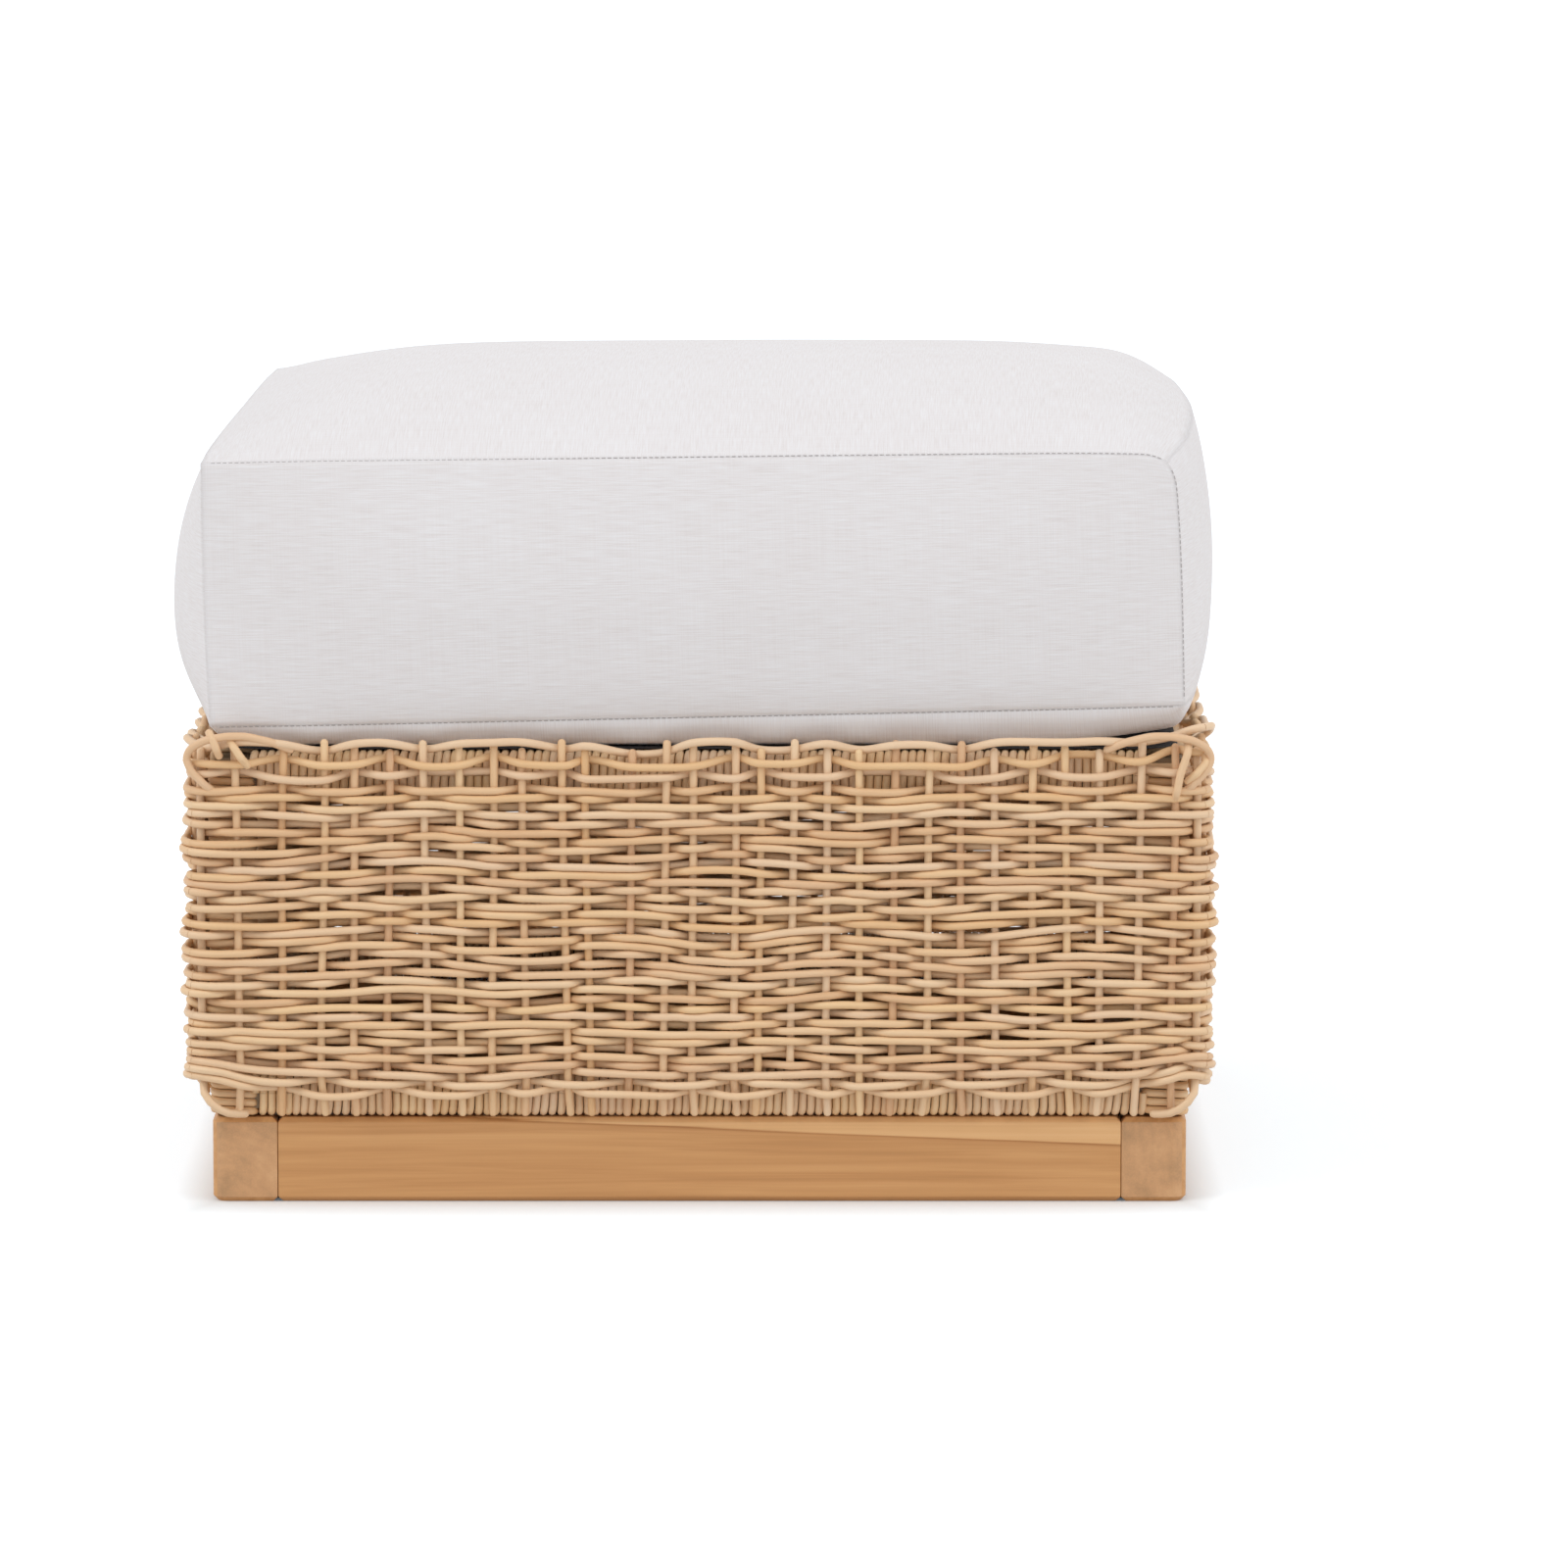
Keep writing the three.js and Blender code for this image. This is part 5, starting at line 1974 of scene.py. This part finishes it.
    def stitches(self, bm: bmesh.types.BMesh) -> list[Strand]:
        """Lays the lockstitches along the seams and beside the zip.

        Args:
            bm: The sewn cover.

        Returns:
            One short thread for each stitch.
        """
        lines = [points - outward * self.thread_bed for points, outward in self.seam_lines]
        tree = BVHTree.FromBMesh(bm)
        reach = self.zip_half_length + self.zip_overrun
        afar, samples, ahead = 0.4, 200, Vector((0, -1, 0))
        for hand in (-1, 1):
            height = self.middle + hand * self.zip_stitches
            row = []
            for x in np.linspace(-reach, reach, samples):
                hit, _, _, _ = tree.ray_cast(Vector((x, afar, height)), ahead)
                row.append(np.array(hit) + (0, self.zip_lift, 0))
            lines.append(np.array(row))
        threads = []
        for line in lines:
            steps = np.linalg.norm(np.diff(line, axis=0), axis=1)
            run = np.concatenate([[0.0], np.cumsum(steps)])
            margin = self.stitch_margin
            for start in np.arange(margin, run[-1] - margin, self.stitch_pitch):
                at = start + np.array([0.0, 0.5, 1.0]) * self.stitch_length
                places = np.c_[tuple(np.interp(at, run, line[:, axis]) for axis in range(3))]
                threads.append(Strand(places))
        return threads


# The zip


@dataclass
class CushionZip:
    """The coil zip across the back of the cushion."""

    tape: float = 0.6 * MM
    teeth_pitch: float = 1.3 * MM
    tooth_points: int = 6
    filament: float = 0.62 * MM
    edge: float = 0.35 * MM

    def build(self) -> None:
        """Makes the tape and the coil, and softens the slider and pull."""
        self.lay_tape()
        self.wind_coil()
        for node, body in (("zip_slider", Body.SLIDER), ("zip_pull", Body.PULL)):
            mesh = mesh_from("cast_" + node, softened_copy(node, self.edge, segments=2))
            piece = place_piece("cast_" + node, mesh, NICKEL_PLATE, body, (node,))
            even = piece.modifiers.new("even_faces", "WEIGHTED_NORMAL")
            even.keep_sharp = True

    def lay_tape(self) -> None:
        """Lays the tape on the floor of the cover's channel."""
        low, high = (Vector(c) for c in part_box("zip_tape"))
        size, centre = high - low, (low + high) / 2
        upright = Matrix.Rotation(math.pi / 2, 3, "X")
        bm = bmesh.new()
        bmesh.ops.create_grid(bm, x_segments=38, y_segments=4, size=0.5)
        bmesh.ops.rotate(bm, cent=(0, 0, 0), matrix=upright, verts=bm.verts)
        bmesh.ops.scale(bm, vec=(size.x, 1, size.z), verts=bm.verts)
        bmesh.ops.translate(bm, vec=(centre.x, high.y, centre.z), verts=bm.verts)
        bmesh.ops.solidify(bm, geom=bm.faces[:], thickness=self.tape)
        bmesh.ops.recalc_face_normals(bm, faces=bm.faces)
        reach = max(v.co.y for v in bm.verts)
        bmesh.ops.translate(bm, vec=(0, high.y - reach, 0), verts=bm.verts)
        tape = place_piece(
            "zip_tape_cloth",
            mesh_from("zip_tape_cloth", bm, smooth=False),
            ZIP_TAPE,
            Body.CUSHION,
            ("zip_tape",),
        )

    def wind_coil(self) -> None:
        """Winds the coil, one turn a tooth."""
        low, high = (Vector(c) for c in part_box("zip_coil"))
        turns = int((high.x - low.x) / self.teeth_pitch)
        angle = np.arange(turns * self.tooth_points + 1) * 2 * np.pi / self.tooth_points
        radius_y = (high.y - low.y - self.filament) / 2
        radius_z = (high.z - low.z - self.filament) / 2
        coil = np.c_[
            low.x + angle / (2 * np.pi) * self.teeth_pitch,
            (low.y + high.y) / 2 + radius_y * np.cos(angle),
            (low.z + high.z) / 2 + radius_z * np.sin(angle),
        ]
        place_piece(
            "zip_coil_filament",
            strand_mesh("zip_coil_filament", [Strand(coil)], self.filament / 2, 6),
            COIL_NYLON,
            Body.CUSHION,
            ("zip_coil",),
        )


# The studio


@dataclass
class Studio:
    """A pale floor, soft lamps and the camera."""

    camera_place: tuple[float, float, float] = (0.052, -6.0225, 1.0713)
    pitch: float = 8.039  # how many degrees the camera looks down
    lens: float = 217.91
    floor_colour: str = "#E1E1E0"
    painted_shade_colour: str = "#5E5A56"  # painted shade: the floor under the stool is painted dark for the shade that falls there
    floor_lift: float = 0.52
    lift_colour: str = "#E2F3FF"  # takes the warm cast of the wood out of the shadow
    painted_shadow_lift: float = 0.2  # share of the lift beside the plinth, where the floor glows less as a painted shadow
    under_stool: tuple[float, float] = (0.285, 0.262)  # half size of the painted shade patch under the stool
    lift_from: float = 1.04  # in half sizes of the shade patch, where the painted shadow beside the plinth starts
    lift_reach: tuple[float, float] = (1.14, 1.28)  # where it is whole, to the side and ahead: the painted shadow's reach
    around: float = 0.79  # strength of the even light
    # Name, direction from the footstool, angle that it fills in degrees, and strength
    lamps: tuple[tuple[str, tuple[float, float, float], float, float], ...] = (
        ("left_softbox", (-0.75, -0.4, 0.66), 40, 0.77),
        ("right_softbox", (0.85, -0.35, 0.5), 48, 0.68),
    )

    def camera(self) -> None:
        """Sets the camera at the angle and distance of the photograph."""
        data = bpy.data.cameras.new("camera")
        data.lens = self.lens
        data.sensor_width = 36
        data.clip_end = 200
        camera = bpy.data.objects.new("camera", data)
        camera.location = self.camera_place
        camera.rotation_euler = (math.radians(90 - self.pitch), 0, 0)
        bpy.context.scene.collection.objects.link(camera)
        bpy.context.scene.camera = camera

    def floor(self) -> None:
        """Lays a pale floor that runs out of every view, painted dark under the stool as shade and
        glowing less beside the plinth as a painted shadow.
        """
        bm = bmesh.new()
        bmesh.ops.create_circle(bm, cap_ends=True, segments=96, radius=60)
        mesh = mesh_from("studio_floor", bm, smooth=False)
        paper = bpy.data.materials.new("studio_paper")
        paper.use_nodes = True
        tree = paper.node_tree
        tree.nodes.clear()
        coords = add_node(tree, "TexCoord").outputs["Object"]
        parts = add_node(tree, "SeparateXYZ", {"Vector": coords}).outputs
        # The glow rises from its least beside the plinth to whole further out, so a painted shadow
        # lies round the plinth, wider ahead than to the side.
        shares, rises = [], []
        for axis, half, reach in zip("XY", self.under_stool, self.lift_reach):
            size = add_node(tree, "Math", {0: parts[axis]}, operation="ABSOLUTE").outputs["Value"]
            share = add_node(tree, "Math", {0: size, 1: half}, operation="DIVIDE").outputs["Value"]
            inputs = {
                "Value": share,
                "From Min": self.lift_from,
                "From Max": reach,
                "To Min": self.painted_shadow_lift,
            }
            rises.append(add_node(tree, "MapRange", inputs).outputs["Result"])
            shares.append(share)
        far, rise = (
            add_node(tree, "Math", dict(enumerate(pair)), operation="MAXIMUM").outputs["Value"]
            for pair in (shares, rises)
        )
        inputs = {0: far, 1: 1.0}
        open_floor = add_node(tree, "Math", inputs, operation="GREATER_THAN").outputs["Value"]
        # Under the stool the floor takes the painted shade colour, standing in for the stool's shade.
        painted_shade, shown = linear(self.painted_shade_colour), linear(self.floor_colour)
        inputs = {0: open_floor, 6: painted_shade, 7: shown}
        colour = add_node(tree, "Mix", inputs, data_type="RGBA").outputs[2]
        matt = add_node(tree, "BsdfDiffuse", {"Color": colour})
        inputs = {0: rise, 1: self.floor_lift}
        whole = add_node(tree, "Math", inputs, operation="MULTIPLY").outputs["Value"]
        inputs = {0: open_floor, 1: whole}
        lift = add_node(tree, "Math", inputs, operation="MULTIPLY").outputs["Value"]
        glow = add_node(tree, "Emission", {"Color": linear(self.lift_colour), "Strength": lift})
        both = add_node(tree, "AddShader", {0: matt.outputs["BSDF"], 1: glow.outputs["Emission"]})
        mixed = add_node(
            tree,
            "MixShader",
            {0: self.seen(tree), 1: matt.outputs["BSDF"], 2: both.outputs["Shader"]},
        )
        add_node(tree, "OutputMaterial", {"Surface": mixed.outputs["Shader"]})
        mesh.materials.append(paper)
        floor = bpy.data.objects.new("studio_floor", mesh)
        bpy.context.scene.collection.objects.link(floor)

    def seen(self, tree: Tree) -> Socket:
        """Returns 1 for rays that see the backdrop itself or its reflection."""
        path = add_node(tree, "LightPath").outputs
        inputs = {0: path["Is Camera Ray"], 1: path["Is Glossy Ray"]}
        direct = add_node(tree, "Math", inputs, operation="MAXIMUM").outputs["Value"]
        inputs = {0: direct, 1: path["Is Transmission Ray"]}
        return add_node(tree, "Math", inputs, operation="MAXIMUM").outputs["Value"]

    def world(self) -> None:
        """Sets a white backdrop and an even light from all round."""
        world = bpy.data.worlds.new("studio")
        world.use_nodes = True
        tree = world.node_tree
        tree.nodes.clear()
        white = linear("#FFFFFF")
        soft = add_node(tree, "Background", {"Color": white, "Strength": self.around})
        plain = add_node(tree, "Background", {"Color": white, "Strength": 1.0})
        mixed = add_node(
            tree,
            "MixShader",
            {0: self.seen(tree), 1: soft.outputs["Background"], 2: plain.outputs["Background"]},
        )
        add_node(tree, "OutputWorld", {"Surface": mixed.outputs["Shader"]})
        bpy.context.scene.world = world

    def lamp(
        self, name: str, towards: tuple[float, float, float], spread: float, power: float
    ) -> None:
        """Hangs one distant softbox, which lights the whole floor evenly.

        Args:
            name: The lamp's name.
            towards: Direction from the footstool to it.
            spread: Angle that it fills, in degrees.
            power: Its strength.
        """
        data = bpy.data.lights.new(name, "SUN")
        data.angle = math.radians(spread)
        data.energy = power
        lamp = bpy.data.objects.new(name, data)
        lamp.rotation_euler = Vector(towards).to_track_quat("Z", "Y").to_euler()
        bpy.context.scene.collection.objects.link(lamp)

    def build(self) -> None:
        """Builds the studio."""
        self.camera()
        self.floor()
        self.world()
        for lamp in self.lamps:
            self.lamp(*lamp)
        bpy.context.scene.view_settings.view_transform = "Standard"


def main() -> None:
    """Builds the studio and every part of the footstool in order."""
    logging.basicConfig(level=logging.INFO, format="%(name)s: %(message)s")
    Studio().build()
    steps: tuple[Callable[[], None], ...] = (
        WickerBody().build,
        TimberPlinth().build,
        TubeFrame().dress,
        SlingDeck().build,
        BoxCushion().build,
        CushionZip().build,
    )
    for step in steps:
        step()


if __name__ == "__main__":
    main()
